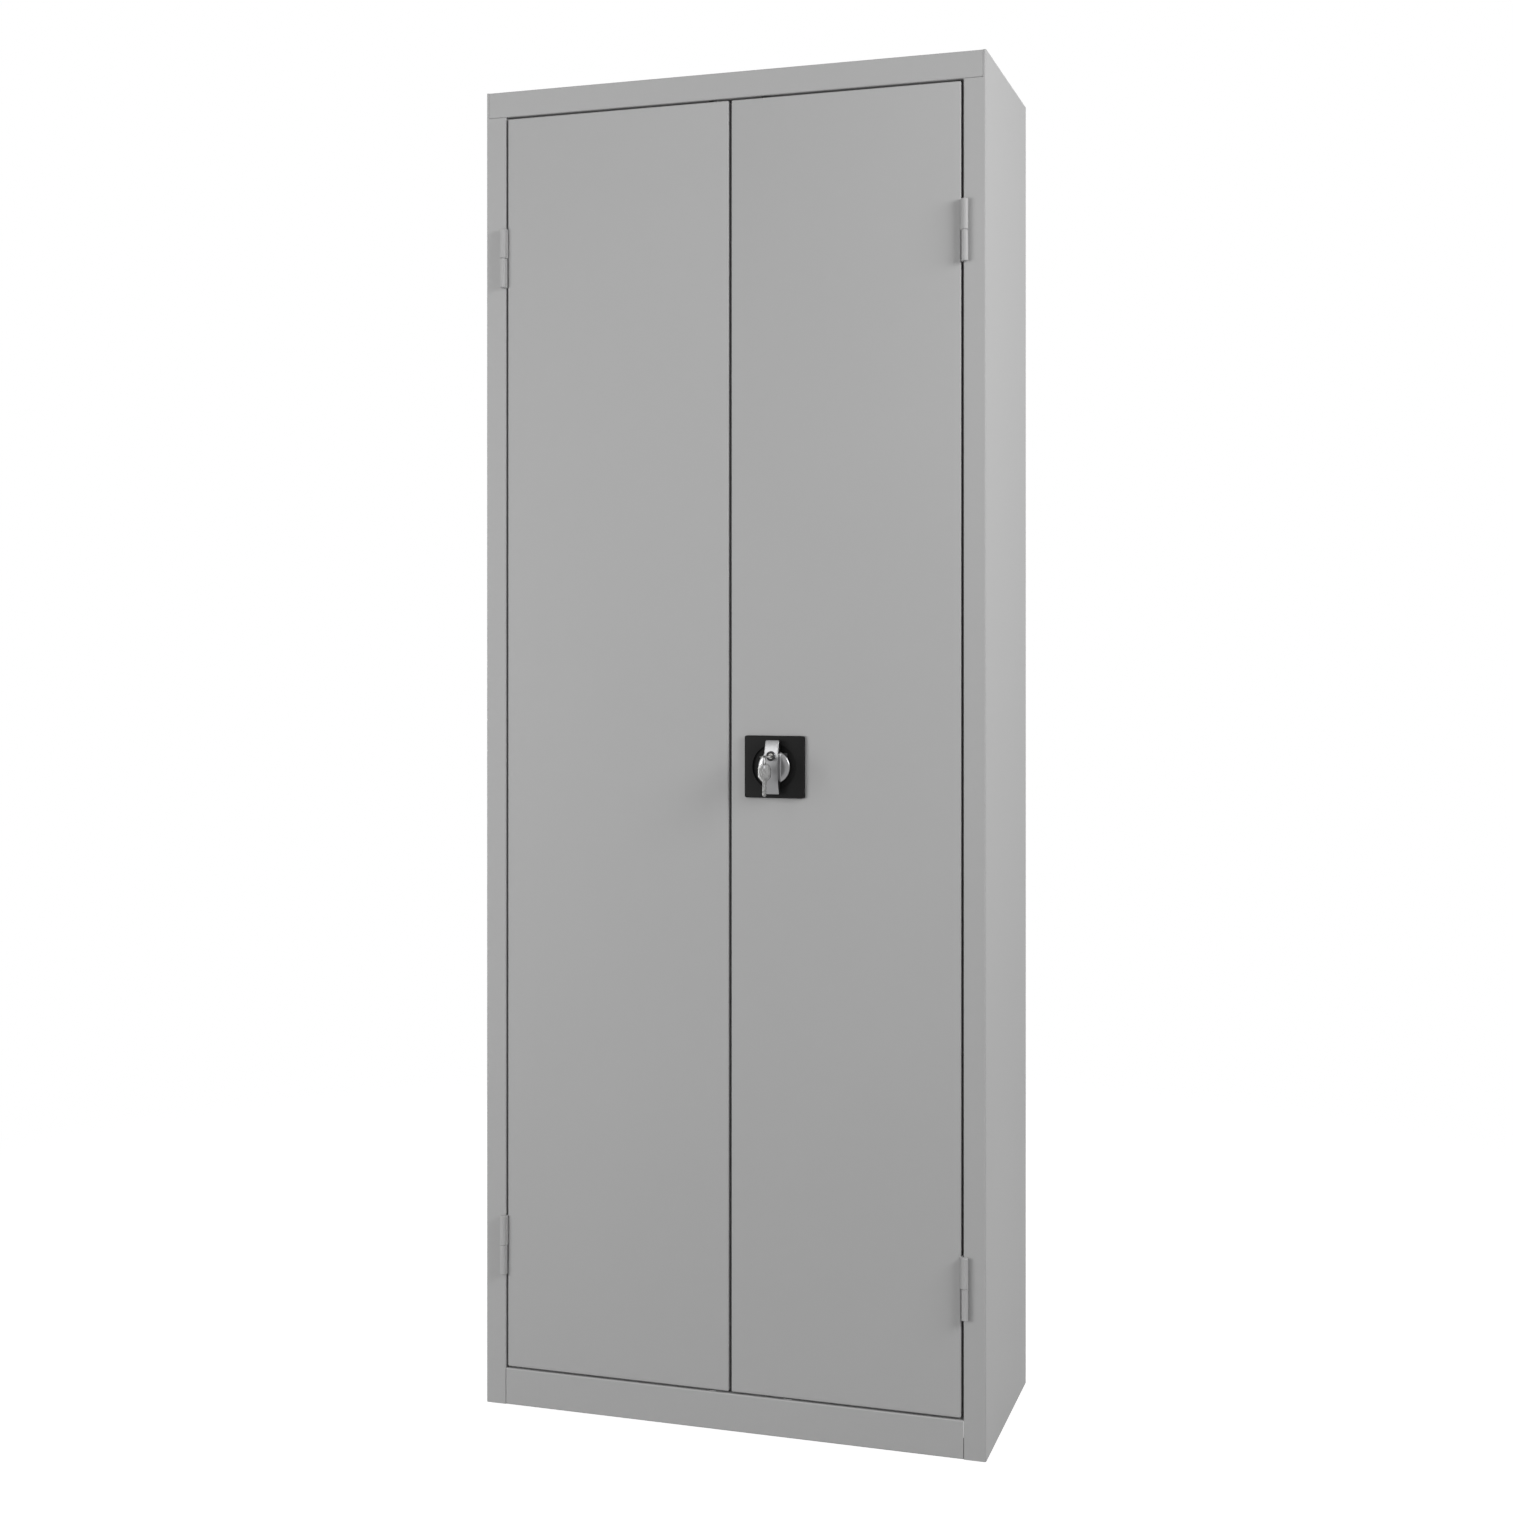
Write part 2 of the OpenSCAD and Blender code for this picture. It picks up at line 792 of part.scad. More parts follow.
// A hat-shaped channel that stiffens a door from top to bottom
module door_stiffener(x) {
    mid_x = (x[0] + x[1]) / 2;
    web_half = stiffener_w / 2;
    brim_half = web_half + stiffener_brim_w;
    brim_y = skin_back_y + mid_t;
    web_y = skin_back_y + stiffener_depth;
    standing_fold([
        [mid_x - brim_half, brim_y],
        [mid_x - web_half, brim_y],
        [mid_x - web_half, web_y],
        [mid_x + web_half, web_y],
        [mid_x + web_half, brim_y],
        [mid_x + brim_half, brim_y]
    ], door_low_z + stiffener_end, door_high_z - stiffener_end);
}

// The hole in a door's end fold that a rod or a bolt passes
module end_hole(x, top) {
    z = top ? door_high_z - sheet_t : door_low_z;
    upright_rod(x, rod_y, rod_d / 2 + rod_play, z - past, z + sheet_t + past);
}

module left_door_panel() {
    color(paint)
        difference() {
            door_tray(left_door_x);
            end_hole(bolt_x, true);
            end_hole(bolt_x, false);
        }
}

module left_door_stiffener() {
    color(paint)
        door_stiffener(left_door_x);
}

module right_door_panel() {
    color(paint)
        difference() {
            door_tray(right_door_x);
            end_hole(upper_rod_x(), true);
            end_hole(lower_rod_x(), false);
            at_lock() {
                translate([0, 0, -2 * sheet_t])
                    cylinder(r = spindle_d / 2 + skin_hole_gap, h = 3 * sheet_t);
                lock_screw_places()
                    translate([0, 0, -2 * sheet_t])
                        cylinder(r = screw_r + screw_play, h = 3 * sheet_t);
            }
        }
}

module right_door_stiffener() {
    color(paint)
        door_stiffener(right_door_x);
}

// A guide block on the back of a door's skin, with a bore for a rod
module guide_block(x, mid_z) {
    difference() {
        block(
            [x - guide_w / 2, skin_back_y, mid_z - guide_h / 2],
            [x + guide_w / 2, rod_y + rod_d / 2 + guide_wall, mid_z + guide_h / 2]
        );
        upright_rod(
            x, rod_y, rod_d / 2 + rod_play,
            mid_z - guide_h / 2 - past, mid_z + guide_h / 2 + past
        );
    }
}

function upper_rod_x() = lock_x - rod_x;
function lower_rod_x() = lock_x + rod_x;
function lower_guide_zs() = [
    door_low_z + rod_guide_inset,
    (door_low_z + lock_z) / 2 + rod_guide_shift
];
function upper_guide_zs() = [
    (door_high_z + lock_z) / 2 - rod_guide_shift,
    door_high_z - rod_guide_inset
];

module rod_guides() {
    color(nylon) {
        for (z = upper_guide_zs())
            guide_block(upper_rod_x(), z);
        for (z = lower_guide_zs())
            guide_block(lower_rod_x(), z);
    }
}

// The slide bolts of the left door, each in two guides near the door's end
module bolt_guides() {
    color(nylon)
        for (drop = bolt_guide_drops) {
            guide_block(bolt_x, door_high_z - drop);
            guide_block(bolt_x, door_low_z + drop);
        }
}

// A slide bolt, drawn from its tip downwards: its thumb knob stops at the first guide
module slide_bolt() {
    translate([0, 0, -bolt_len])
        cylinder(r = rod_d / 2, h = bolt_len);
    translate([0, 0, -knob_drop])
        rotate([-90, 0, 0])
            cylinder(r = knob_neck_r, h = knob_y - rod_y);
    translate([0, knob_y - rod_y - knob_t, -knob_drop])
        rotate([-90, 0, 0])
            cylinder(r = knob_r, h = knob_t);
}

module upper_slide_bolt() {
    color(bright_zinc)
        translate([bolt_x, rod_y, door_high_z + rod_proud])
            slide_bolt();
}

module lower_slide_bolt() {
    color(bright_zinc)
        translate([bolt_x, rod_y, door_low_z - rod_proud])
            mirror([0, 0, 1])
                slide_bolt();
}

// The four screws that clamp the gear case and the lock plate through the skin
module lock_screw_places() {
    for (x = [-lock_screw_x, lock_screw_x], y = [-lock_screw_y, lock_screw_y])
        translate([x, y, 0])
            children();
}

// A square with rounded corners
module rounded_square(size, corner_r) {
    half = size / 2 - corner_r;
    square([size, size - 2 * corner_r], center = true);
    square([size - 2 * corner_r, size], center = true);
    for (x = [-half, half], y = [-half, half])
        translate([x, y])
            circle(r = corner_r);
}

// The room that the tongue swings through to reach its notch at the top of the recess
module tongue_notch() {
    room = tongue_len + notch_gap;
    wall = tongue_w / 2 + notch_side_gap;
    intersection() {
        translate([0, cylinder_offset])
            circle(r = room);
        union() {
            translate([0, cylinder_offset])
                square([room, room]);
            translate([-wall, cylinder_offset])
                square([2 * wall, room]);
        }
    }
}

module lock_plate() {
    color(black_plastic)
        at_lock()
            difference() {
                linear_extrude(plate_t)
                    rounded_square(plate_size, plate_corner_r);
                translate([0, 0, recess_floor_t])
                    cylinder(r = recess_r, h = plate_t);
                translate([0, 0, recess_floor_t])
                    linear_extrude(plate_t - recess_floor_t - notch_skin) {
                        tongue_notch();
                        rotate(-90)
                            tongue_notch();
                    }
                translate([0, 0, -past])
                    cylinder(r = spindle_d / 2 + plate_hole_gap, h = plate_t);
                lock_screw_places()
                    translate([0, 0, -past])
                        cylinder(r = screw_r + screw_play, h = plate_t);
            }
}

// The cast handle: a neck, a round base and an arched grip, bored for the key lock
module handle() {
    edge_r = hub_top - hub_low - hub_rim_t;
    bore_r = housing_r + fit_gap;
    color(cast_silver)
        at_lock()
            difference() {
                union() {
                    rotate_extrude()
                        intersection() {
                            union() {
                                square([neck_r, hub_top]);
                                translate([0, hub_low])
                                    square([hub_r - edge_r, hub_top - hub_low]);
                                translate([0, hub_low])
                                    square([hub_r, hub_top - hub_low - edge_r]);
                                translate([hub_r - edge_r, hub_top - edge_r])
                                    circle(r = edge_r);
                            }
                            translate([0, recess_floor_t + neck_gap])
                                square([hub_r, hub_top]);
                        }
                    intersection() {
                        translate([-grip_w / 2, -grip_len / 2, hub_top - overlap])
                            cube([grip_w, grip_len, grip_end_t + grip_rise + overlap]);
                        translate([-grip_w, 0, grip_top - grip_r])
                            rotate([0, 90, 0])
                                cylinder(r = grip_r, h = 2 * grip_w, $fn = 200);
                    }
                }
                translate([0, cylinder_offset, 0])
                    cylinder(r = bore_r, h = grip_top + past);
                translate([0, cylinder_offset, lock_face - collar_t])
                    cylinder(r = collar_r + fit_gap, h = grip_top);
                cylinder(r = spindle_d / 2 + screw_bite, h = spindle_top + fit_gap);
            }
}

// The spindle carries the handle's turn through the skin to the pinion
module spindle() {
    color(bright_zinc)
        at_lock()
            difference() {
                translate([0, 0, spindle_low])
                    cylinder(r = spindle_d / 2, h = spindle_top - spindle_low);
                translate([0, 0, spindle_low - past])
                    cylinder(r = screw_r + screw_bite, h = spindle_bore + past);
            }
}

module spindle_screw() {
    head_t = 1.4;
    head_lap = 1.5;
    end_gap = 2;
    color(bright_zinc)
        at_lock() {
            translate([0, 0, spindle_low])
                cylinder(r = screw_r, h = spindle_bore - end_gap);
            translate([0, 0, spindle_low - head_t])
                cylinder(r = spindle_d / 2 + head_lap, h = head_t);
        }
}

// Involute of the pinion's base circle, t degrees of unrolling from its start
function involute(t) = base_r * [cos(t) + t * PI / 180 * sin(t), sin(t) - t * PI / 180 * cos(t)];
function turned(p, a) = [p[0] * cos(a) - p[1] * sin(a), p[0] * sin(a) + p[1] * cos(a)];
function unroll_at(r) = sqrt(r * r / (base_r * base_r) - 1) * 180 / PI;
function involute_angle(r) = unroll_at(r) - acos(base_r / r);

// The pinion's outline, with a tooth on the x axis
module pinion_outline() {
    outer_r = pitch_r + tooth_addendum;
    root_r = pitch_r - tooth_dedendum;
    steps = 6;
    half_thick = 90 / pinion_teeth + involute_angle(pitch_r) - tooth_backlash / (4 * pitch_r) * 180 / PI;
    flank = [for (k = [0 : steps]) turned(involute(unroll_at(outer_r) * k / steps), -half_thick)];
    upper = [for (k = [steps : -1 : 0]) [flank[k][0], -flank[k][1]]];
    foot = turned([root_r - 0.3, 0], -half_thick);
    circle(r = root_r);
    for (i = [0 : pinion_teeth - 1])
        rotate(i * 360 / pinion_teeth)
            polygon(concat([foot], flank, upper, [[foot[0], -foot[1]]]));
}

module pinion() {
    color(bright_zinc)
        at_lock()
            translate([0, 0, -rod_depth - pinion_t / 2])
                linear_extrude(pinion_t)
                    difference() {
                        pinion_outline();
                        circle(r = spindle_d / 2 + screw_bite);
                    }
}

// The rack left of the pinion: it rises as the handle turns clockwise
module rack_outline() {
    pitch = gear_module * PI;
    back_x = -pitch_r - tooth_dedendum - rack_w;
    root_x = -pitch_r - tooth_dedendum;
    tip_x = -pitch_r + tooth_addendum;
    slope = tan(pressure_angle);
    root_half = pitch / 4 - tooth_backlash / 4 + tooth_dedendum * slope;
    tip_half = pitch / 4 - tooth_backlash / 4 - tooth_addendum * slope;
    first = -floor((rack_low - pitch) / pitch) - 1;
    last = floor((rack_high - pitch) / pitch);
    translate([back_x, -rack_low])
        square([rack_w, rack_low + rack_high]);
    for (i = [first : last])
        translate([0, (i + 0.5) * pitch])
            polygon([
                [root_x - overlap, -root_half],
                [root_x, -root_half],
                [tip_x, -tip_half],
                [tip_x, tip_half],
                [root_x, root_half],
                [root_x - overlap, root_half]
            ]);
}

module upper_rack() {
    color(bright_zinc)
        at_lock()
            translate([0, 0, -rod_depth - rack_w / 2])
                linear_extrude(rack_w)
                    rack_outline();
}

module lower_rack() {
    color(bright_zinc)
        at_lock()
            rotate(180)
                translate([0, 0, -rod_depth - rack_w / 2])
                    linear_extrude(rack_w)
                        rack_outline();
}

module upper_rod() {
    color(bright_zinc)
        upright_rod(upper_rod_x(), rod_y, rod_d / 2, lock_z + rack_high, door_high_z + rod_proud);
}

module lower_rod() {
    color(bright_zinc)
        upright_rod(lower_rod_x(), rod_y, rod_d / 2, door_low_z - rod_proud, lock_z - rack_high);
}

// The gear case: an open box with ears, two pillars for the cover and a hole for each rod
module gear_case() {
    half_x = case_room_x + case_wall;
    half_y = case_room_y + case_wall;
    ear_half_x = half_x + ear_w;
    ear_half_y = lock_screw_y + ear_w / 2;
    color(dark_steel)
        at_lock()
            difference() {
                union() {
                    difference() {
                        block([-half_x, -half_y, case_back_z], [half_x, half_y, case_front_z]);
                        block(
                            [-case_room_x, -case_room_y, case_back_z - past],
                            [case_room_x, case_room_y, case_front_z - case_wall]
                        );
                    }
                    for (y = [-pillar_y, pillar_y])
                        translate([0, y, case_back_z])
                            cylinder(r = pillar_r, h = case_front_z - case_back_z - overlap);
                    for (x = [-ear_half_x, half_x - overlap])
                        block(
                            [x, -ear_half_y, case_front_z - ear_t],
                            [x + ear_w + overlap, ear_half_y, case_front_z]
                        );
                }
                translate([0, 0, case_back_z])
                    cylinder(r = spindle_d / 2 + spindle_play, h = past - case_back_z);
                for (y = [-pillar_y, pillar_y])
                    translate([0, y, case_back_z - past])
                        cylinder(r = cover_screw_r + screw_bite, h = cover_screw_len + past + 0.5);
                lock_screw_places()
                    translate([0, 0, case_front_z - ear_t - past])
                        cylinder(r = screw_r + screw_play, h = ear_t + 2 * past);
                for (side = [-1, 1])
                    translate([side * rod_x, side * -case_room_y, -rod_depth])
                        rotate([side * 90, 0, 0])
                            translate([0, 0, -past])
                                cylinder(r = rod_d / 2 + rod_play, h = case_wall + 2 * past);
            }
}

module gear_case_cover() {
    half_x = case_room_x + case_wall;
    half_y = case_room_y + case_wall;
    color(dark_steel)
        at_lock()
            difference() {
                block([-half_x, -half_y, case_back_z - cover_t], [half_x, half_y, case_back_z]);
                translate([0, 0, case_back_z - cover_t - past])
                    cylinder(r = spindle_d / 2 + spindle_play, h = cover_t + 2 * past);
                for (y = [-pillar_y, pillar_y])
                    translate([0, y, case_back_z - cover_t - past])
                        cylinder(r = cover_screw_r + screw_play, h = cover_t + 2 * past);
            }
}

// Pan-head screws that hold the gear case's ears and the lock plate to the skin
module lock_screws() {
    head_t = 2.4;
    end_gap = 0.6;
    color(bright_zinc)
        at_lock()
            lock_screw_places() {
                translate([0, 0, case_front_z - ear_t - overlap])
                    cylinder(r = screw_r, h = ear_t + sheet_t + overlap + plate_t - past - end_gap);
                translate([0, 0, case_front_z - ear_t - head_t])
                    cylinder(r = screw_head_r, h = head_t);
            }
}

module cover_screws() {
    head_t = 1.2;
    head_r = 3;
    face_z = case_back_z - cover_t;
    color(bright_zinc)
        at_lock()
            for (y = [-pillar_y, pillar_y]) {
                translate([0, y, face_z - overlap])
                    cylinder(r = cover_screw_r, h = cover_screw_len + cover_t + overlap);
                translate([0, y, face_z - head_t])
                    cylinder(r = head_r, h = head_t);
            }
}

// The housing of the key lock, with the dark collar round the plug
module lock_housing() {
    color(black_plastic)
        at_lock()
            translate([0, cylinder_offset, 0])
                difference() {
                    union() {
                        translate([0, 0, housing_low])
                            cylinder(r = housing_r, h = lock_face - housing_low);
                        translate([0, 0, lock_face - collar_t])
                            cylinder(r = collar_r, h = collar_t);
                    }
                    translate([0, 0, housing_low - past])
                        cylinder(r = plug_d / 2 + plug_play, h = lock_face);
                }
}

// The plug, with its keyway and a square tail for the tongue
module lock_plug() {
    color(bright_zinc)
        at_lock()
            translate([0, cylinder_offset, 0])
                difference() {
                    union() {
                        translate([0, 0, plug_low])
                            cylinder(r = plug_d / 2, h = lock_face - plug_sink - plug_low);
                        translate([-tail_w / 2, -tail_w / 2, tongue_low - tail_end])
                            cube([tail_w, tail_w, plug_low - tongue_low + tail_end + overlap]);
                    }
                    translate([-blade_w / 2 - slot_play, -key_t / 2 - slot_play, slot_floor])
                        cube([blade_w + 2 * slot_play, key_t + 2 * slot_play, lock_face]);
                }
}

// The tongue on the plug's tail: the key swings it up into the plate's notch
module lock_tongue() {
    tail_gap = 0.05;
    color(dark_steel)
        at_lock()
            translate([0, cylinder_offset, tongue_low])
                linear_extrude(tongue_t)
                    difference() {
                        union() {
                            circle(r = tongue_w / 2);
                            translate([0, -tongue_w / 2])
                                square([tongue_len, tongue_w]);
                        }
                        square(tail_w + 2 * tail_gap, center = true);
                    }
}

// A key in its own plane: the bow's start is at the origin and the blade points down
module key_outline(shown_blade) {
    shoulder_step = 1.5;
    shoulder_w = blade_w + 2 * shoulder_step;
    shoulder_h = 5;
    tip_cut = 2;
    bow_r = bow_w / 2;
    hole_y = bow_len - bow_rim - bow_hole_d / 2;
    difference() {
        union() {
            intersection() {
                translate([0, bow_len - bow_r])
                    circle(r = bow_r);
                translate([-bow_r, 0])
                    square([bow_w, bow_len]);
            }
            translate([-bow_r, shoulder_h])
                square([bow_w, bow_len - bow_r - shoulder_h]);
            polygon([
                [-shoulder_w / 2, 0],
                [shoulder_w / 2, 0],
                [bow_r, shoulder_h + fit_gap],
                [-bow_r, shoulder_h + fit_gap]
            ]);
            polygon([
                [-blade_w / 2, overlap],
                [-blade_w / 2, -shown_blade + tip_cut],
                [-blade_w / 2 + tip_cut, -shown_blade],
                [blade_w / 2 - tip_cut, -shown_blade],
                [blade_w / 2, -shown_blade + tip_cut],
                [blade_w / 2, overlap]
            ]);
        }
        translate([0, hole_y])
            circle(r = bow_hole_d / 2);
    }
}

module key() {
    color(bright_zinc)
        at_lock()
            translate([0, cylinder_offset + key_t / 2, bow_start])
                rotate([90, 0, 0])
                    linear_extrude(key_t)
                        key_outline(bow_start - blade_tip);
}

module key_ring() {
    color(bright_zinc)
        at_lock()
            translate([0, ring_y, rim_z])
                rotate([0, 90, 0])
                    rotate_extrude()
                        translate([ring_mid_r, 0])
                            circle(r = ring_wire_d / 2, $fn = 24);
}

module spare_key() {
    color(bright_zinc)
        at_lock()
            translate([0, spare_top - bow_len, rim_z - key_t / 2])
                linear_extrude(key_t)
                    key_outline(blade_len);
}

left_side();
right_side();
back_panel();
top_panel();
header_lip();
header_stop();
floor_panel();
shelf_1();
shelf_2();
shelf_3();
shelf_4();
front_left_upright();
front_right_upright();
rear_left_upright();
rear_right_upright();
shelf_clips();
rod_keepers();
door_buffers();
hinge_posts();
hinge_pins();
left_door_panel();
left_door_stiffener();
left_hinge_leaves();
bolt_guides();
upper_slide_bolt();
lower_slide_bolt();
right_door_panel();
right_door_stiffener();
right_hinge_leaves();
rod_guides();
lock_plate();
gear_case();
gear_case_cover();
lock_screws();
cover_screws();
handle();
spindle();
pinion();
spindle_screw();
lock_housing();
lock_plug();
lock_tongue();
key();
key_ring();
spare_key();
upper_rack();
upper_rod();
lower_rack();
lower_rod();
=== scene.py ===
# %% [markdown]
# # A steel tool cabinet
#
# This lesson dresses a tall cabinet of folded sheet steel. Two flush doors hang on barrel
# hinges, and a cast handle in a black plate throws two lock rods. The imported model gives
# every piece its place. Each cell below adds one finish or one piece to it.

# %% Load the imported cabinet
import json
import math

import bmesh
import bpy
from mathutils import Matrix, Vector


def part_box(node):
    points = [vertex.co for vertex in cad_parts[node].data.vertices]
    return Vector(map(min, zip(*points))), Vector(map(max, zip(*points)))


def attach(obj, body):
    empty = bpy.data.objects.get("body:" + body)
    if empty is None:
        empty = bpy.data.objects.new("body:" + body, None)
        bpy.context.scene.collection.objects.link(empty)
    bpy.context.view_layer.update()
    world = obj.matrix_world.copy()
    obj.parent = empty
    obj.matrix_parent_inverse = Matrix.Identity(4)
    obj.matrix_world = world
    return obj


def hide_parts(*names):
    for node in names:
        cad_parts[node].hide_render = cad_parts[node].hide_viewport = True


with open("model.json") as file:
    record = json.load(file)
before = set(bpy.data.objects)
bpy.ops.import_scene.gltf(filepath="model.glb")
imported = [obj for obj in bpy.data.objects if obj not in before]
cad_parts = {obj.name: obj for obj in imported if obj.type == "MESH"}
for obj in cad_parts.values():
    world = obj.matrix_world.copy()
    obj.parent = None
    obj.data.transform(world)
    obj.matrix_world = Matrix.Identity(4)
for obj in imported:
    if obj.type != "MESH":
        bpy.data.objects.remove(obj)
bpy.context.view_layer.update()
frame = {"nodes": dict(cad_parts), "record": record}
scene = bpy.context.scene

# %% [markdown]
# ## The camera
#
# The photographer stood to the right of the cabinet with the lens level at chest height. A
# level lens keeps the cabinet's posts upright, and a small shift moves the frame down, as a
# shift lens does. The cabinet could also be turned to fit the view, but its frame has to stay
# put, so the camera goes where the photographer was.

# %% Camera
STANDPOINT = (0.9252, -2.965, 1.1401)
TURNED_LEFT = math.radians(17.425)

camera_data = bpy.data.cameras.new("photographer")
camera_data.sensor_width = 36
camera_data.lens = 48.18
camera_data.shift_y = -0.0714
camera = bpy.data.objects.new("photographer", camera_data)
camera.location = STANDPOINT
camera.rotation_euler = (math.radians(90), 0, TURNED_LEFT)
scene.collection.objects.link(camera)
scene.camera = camera
print("camera is", round(-STANDPOINT[1], 2), "m in front of the cabinet's middle")

# %% [markdown]
# ## The studio
#
# The photographed cabinet stood in very even light. Its right side is brighter than its front
# and grows darker towards the floor, so one softbox stands close on the right and high up. It
# also draws the bright stripes on the hinge barrels and the soft shadows left of them. A
# broad softbox on the left keeps the front even, and a small one high in front is there for
# the metal: the upper half of the arched grip mirrors it, and the lower half doesn't. One
# behind the cabinet lights its back from below the roof's height, so that it doesn't glare
# on the roof. The world adds an even base.
#
# The background is white for the camera and in reflections, and the floor stays a real
# surface, so that it keeps the cabinet's shadow.

# %% What the camera and reflections see
WHITE = (1, 1, 1, 1)


def seen_rays(tree):
    rays = tree.nodes.new("ShaderNodeLightPath")
    found = rays.outputs["Is Camera Ray"]
    for kind in ("Is Glossy Ray", "Is Transmission Ray"):
        either = tree.nodes.new("ShaderNodeMath")
        either.operation = "MAXIMUM"
        tree.links.new(found, either.inputs[0])
        tree.links.new(rays.outputs[kind], either.inputs[1])
        found = either.outputs[0]
    return found


# %% World
EVEN_LIGHT = 0.27

scene.view_settings.view_transform = "Standard"
world = bpy.data.worlds.new("studio")
scene.world = world
world.use_nodes = True
world_tree = world.node_tree
world_tree.nodes.clear()
soft_air = world_tree.nodes.new("ShaderNodeBackground")
soft_air.inputs["Color"].default_value = WHITE
soft_air.inputs["Strength"].default_value = EVEN_LIGHT
white_paper = world_tree.nodes.new("ShaderNodeBackground")
white_paper.inputs["Color"].default_value = WHITE
white_paper.inputs["Strength"].default_value = 1.0
choose = world_tree.nodes.new("ShaderNodeMixShader")
world_out = world_tree.nodes.new("ShaderNodeOutputWorld")
world_tree.links.new(seen_rays(world_tree), choose.inputs["Fac"])
world_tree.links.new(soft_air.outputs[0], choose.inputs[1])
world_tree.links.new(white_paper.outputs[0], choose.inputs[2])
world_tree.links.new(choose.outputs[0], world_out.inputs["Surface"])
print("the world lights at", EVEN_LIGHT, "and shows white")


# %% Lamps
def softbox(name, place, target, width, height, power):
    lamp_data = bpy.data.lights.new(name, "AREA")
    lamp_data.shape = "RECTANGLE"
    lamp_data.size = width
    lamp_data.size_y = height
    lamp_data.energy = power
    lamp = bpy.data.objects.new(name, lamp_data)
    lamp.location = place
    aim = Vector(target) - Vector(place)
    lamp.rotation_euler = aim.to_track_quat("-Z", "Y").to_euler()
    scene.collection.objects.link(lamp)
    print(name, "shines from", tuple(place))


softbox("side_lamp", place=(2.65, -0.95, 2.2), target=(0.3, 0, 1.4),
        width=1.2, height=1.2, power=66)
softbox("high_front_lamp", place=(-1.0, -3.4, 2.8), target=(0, -0.1, 1.2),
        width=1.2, height=1.0, power=17)
softbox("left_lamp", place=(-3.0, -3.4, 1.2), target=(0, -0.1, 0.9),
        width=2.0, height=2.0, power=102)
softbox("back_lamp", place=(-1.6, 3.6, 1.3), target=(0, 0.1, 1.0),
        width=2.6, height=1.3, power=100)


# %% [markdown]
# ## How a finish is made
#
# A powder coat, a zinc plate and a moulded plastic all differ from a flat colour in three
# ways: the tone drifts a little over the piece, the gloss is uneven, and fine relief breaks
# up the highlight. One helper builds these three from noise in the piece's own coordinates,
# which are in metres, so a noise scale of 500 gives bumps of about two millimetres.

# %% A helper for finishes
def finish(name, colour, drift, metal, gloss, relief, drift_size=4.0, relief_scale=500.0,
           shine=0.5, relief_height=0.0002):
    made = bpy.data.materials.new(name)
    made.use_nodes = True
    tree = made.node_tree
    shader = tree.nodes["Principled BSDF"]
    shader.inputs["Metallic"].default_value = metal
    shader.inputs["Specular IOR Level"].default_value = shine
    place = tree.nodes.new("ShaderNodeTexCoord")
    clouds = tree.nodes.new("ShaderNodeTexNoise")
    clouds.inputs["Scale"].default_value = drift_size
    clouds.inputs["Detail"].default_value = 4
    tone = tree.nodes.new("ShaderNodeMix")
    tone.data_type = "RGBA"
    tone.inputs["A"].default_value = (*[c * (1 - drift) for c in colour], 1)
    tone.inputs["B"].default_value = (*[c * (1 + drift) for c in colour], 1)
    sheen = tree.nodes.new("ShaderNodeMapRange")
    sheen.inputs["To Min"].default_value = gloss[0]
    sheen.inputs["To Max"].default_value = gloss[1]
    grain = tree.nodes.new("ShaderNodeTexNoise")
    grain.inputs["Scale"].default_value = relief_scale
    grain.inputs["Detail"].default_value = 2
    bump = tree.nodes.new("ShaderNodeBump")
    bump.inputs["Strength"].default_value = relief
    bump.inputs["Distance"].default_value = relief_height
    tree.links.new(place.outputs["Object"], clouds.inputs["Vector"])
    tree.links.new(place.outputs["Object"], grain.inputs["Vector"])
    tree.links.new(clouds.outputs["Fac"], tone.inputs["Factor"])
    tree.links.new(clouds.outputs["Fac"], sheen.inputs["Value"])
    tree.links.new(tone.outputs["Result"], shader.inputs["Base Color"])
    tree.links.new(sheen.outputs["Result"], shader.inputs["Roughness"])
    tree.links.new(grain.outputs["Fac"], bump.inputs["Height"])
    tree.links.new(bump.outputs["Normal"], shader.inputs["Normal"])
    return made


# %% [markdown]
# ## The finishes
#
# The sheet steel is powder coated in one mid grey, with the faint orange peel of baked
# powder and little shine. Uprights, clips, rods and screws are bright zinc plate, the handle is
# a satin casting, and the lock plate a black moulding. The keys are dull nickel with a mottled
# face, and the plug they turn is a smoother, lighter nickel. In this white studio a metal
# mirrors white on all sides, so its own colour has to be darker than it looks in a room.

# %% Finishes
powder_grey = finish(
    "powder_grey", (0.39, 0.39, 0.39), drift=0.02, metal=0.0, gloss=(0.46, 0.55),
    relief=0.25, shine=0.2)
bright_zinc = finish(
    "bright_zinc", (0.46, 0.47, 0.48), drift=0.1, metal=1.0, gloss=(0.28, 0.42),
    relief=0.15, drift_size=25, relief_scale=900)
satin_cast = finish(
    "satin_cast", (0.25, 0.25, 0.254), drift=0.05, metal=1.0, gloss=(0.26, 0.36),
    relief=0.16, drift_size=60, relief_scale=900)
black_moulding = finish(
    "black_moulding", (0.006, 0.006, 0.006), drift=0.1, metal=0.0, gloss=(0.5, 0.6),
    relief=0.3, drift_size=20, relief_scale=1500, shine=0.12)
black_chrome = finish(
    "black_chrome", (0.05, 0.05, 0.052), drift=0.1, metal=0.9, gloss=(0.18, 0.28),
    relief=0.1, drift_size=40, relief_scale=900)
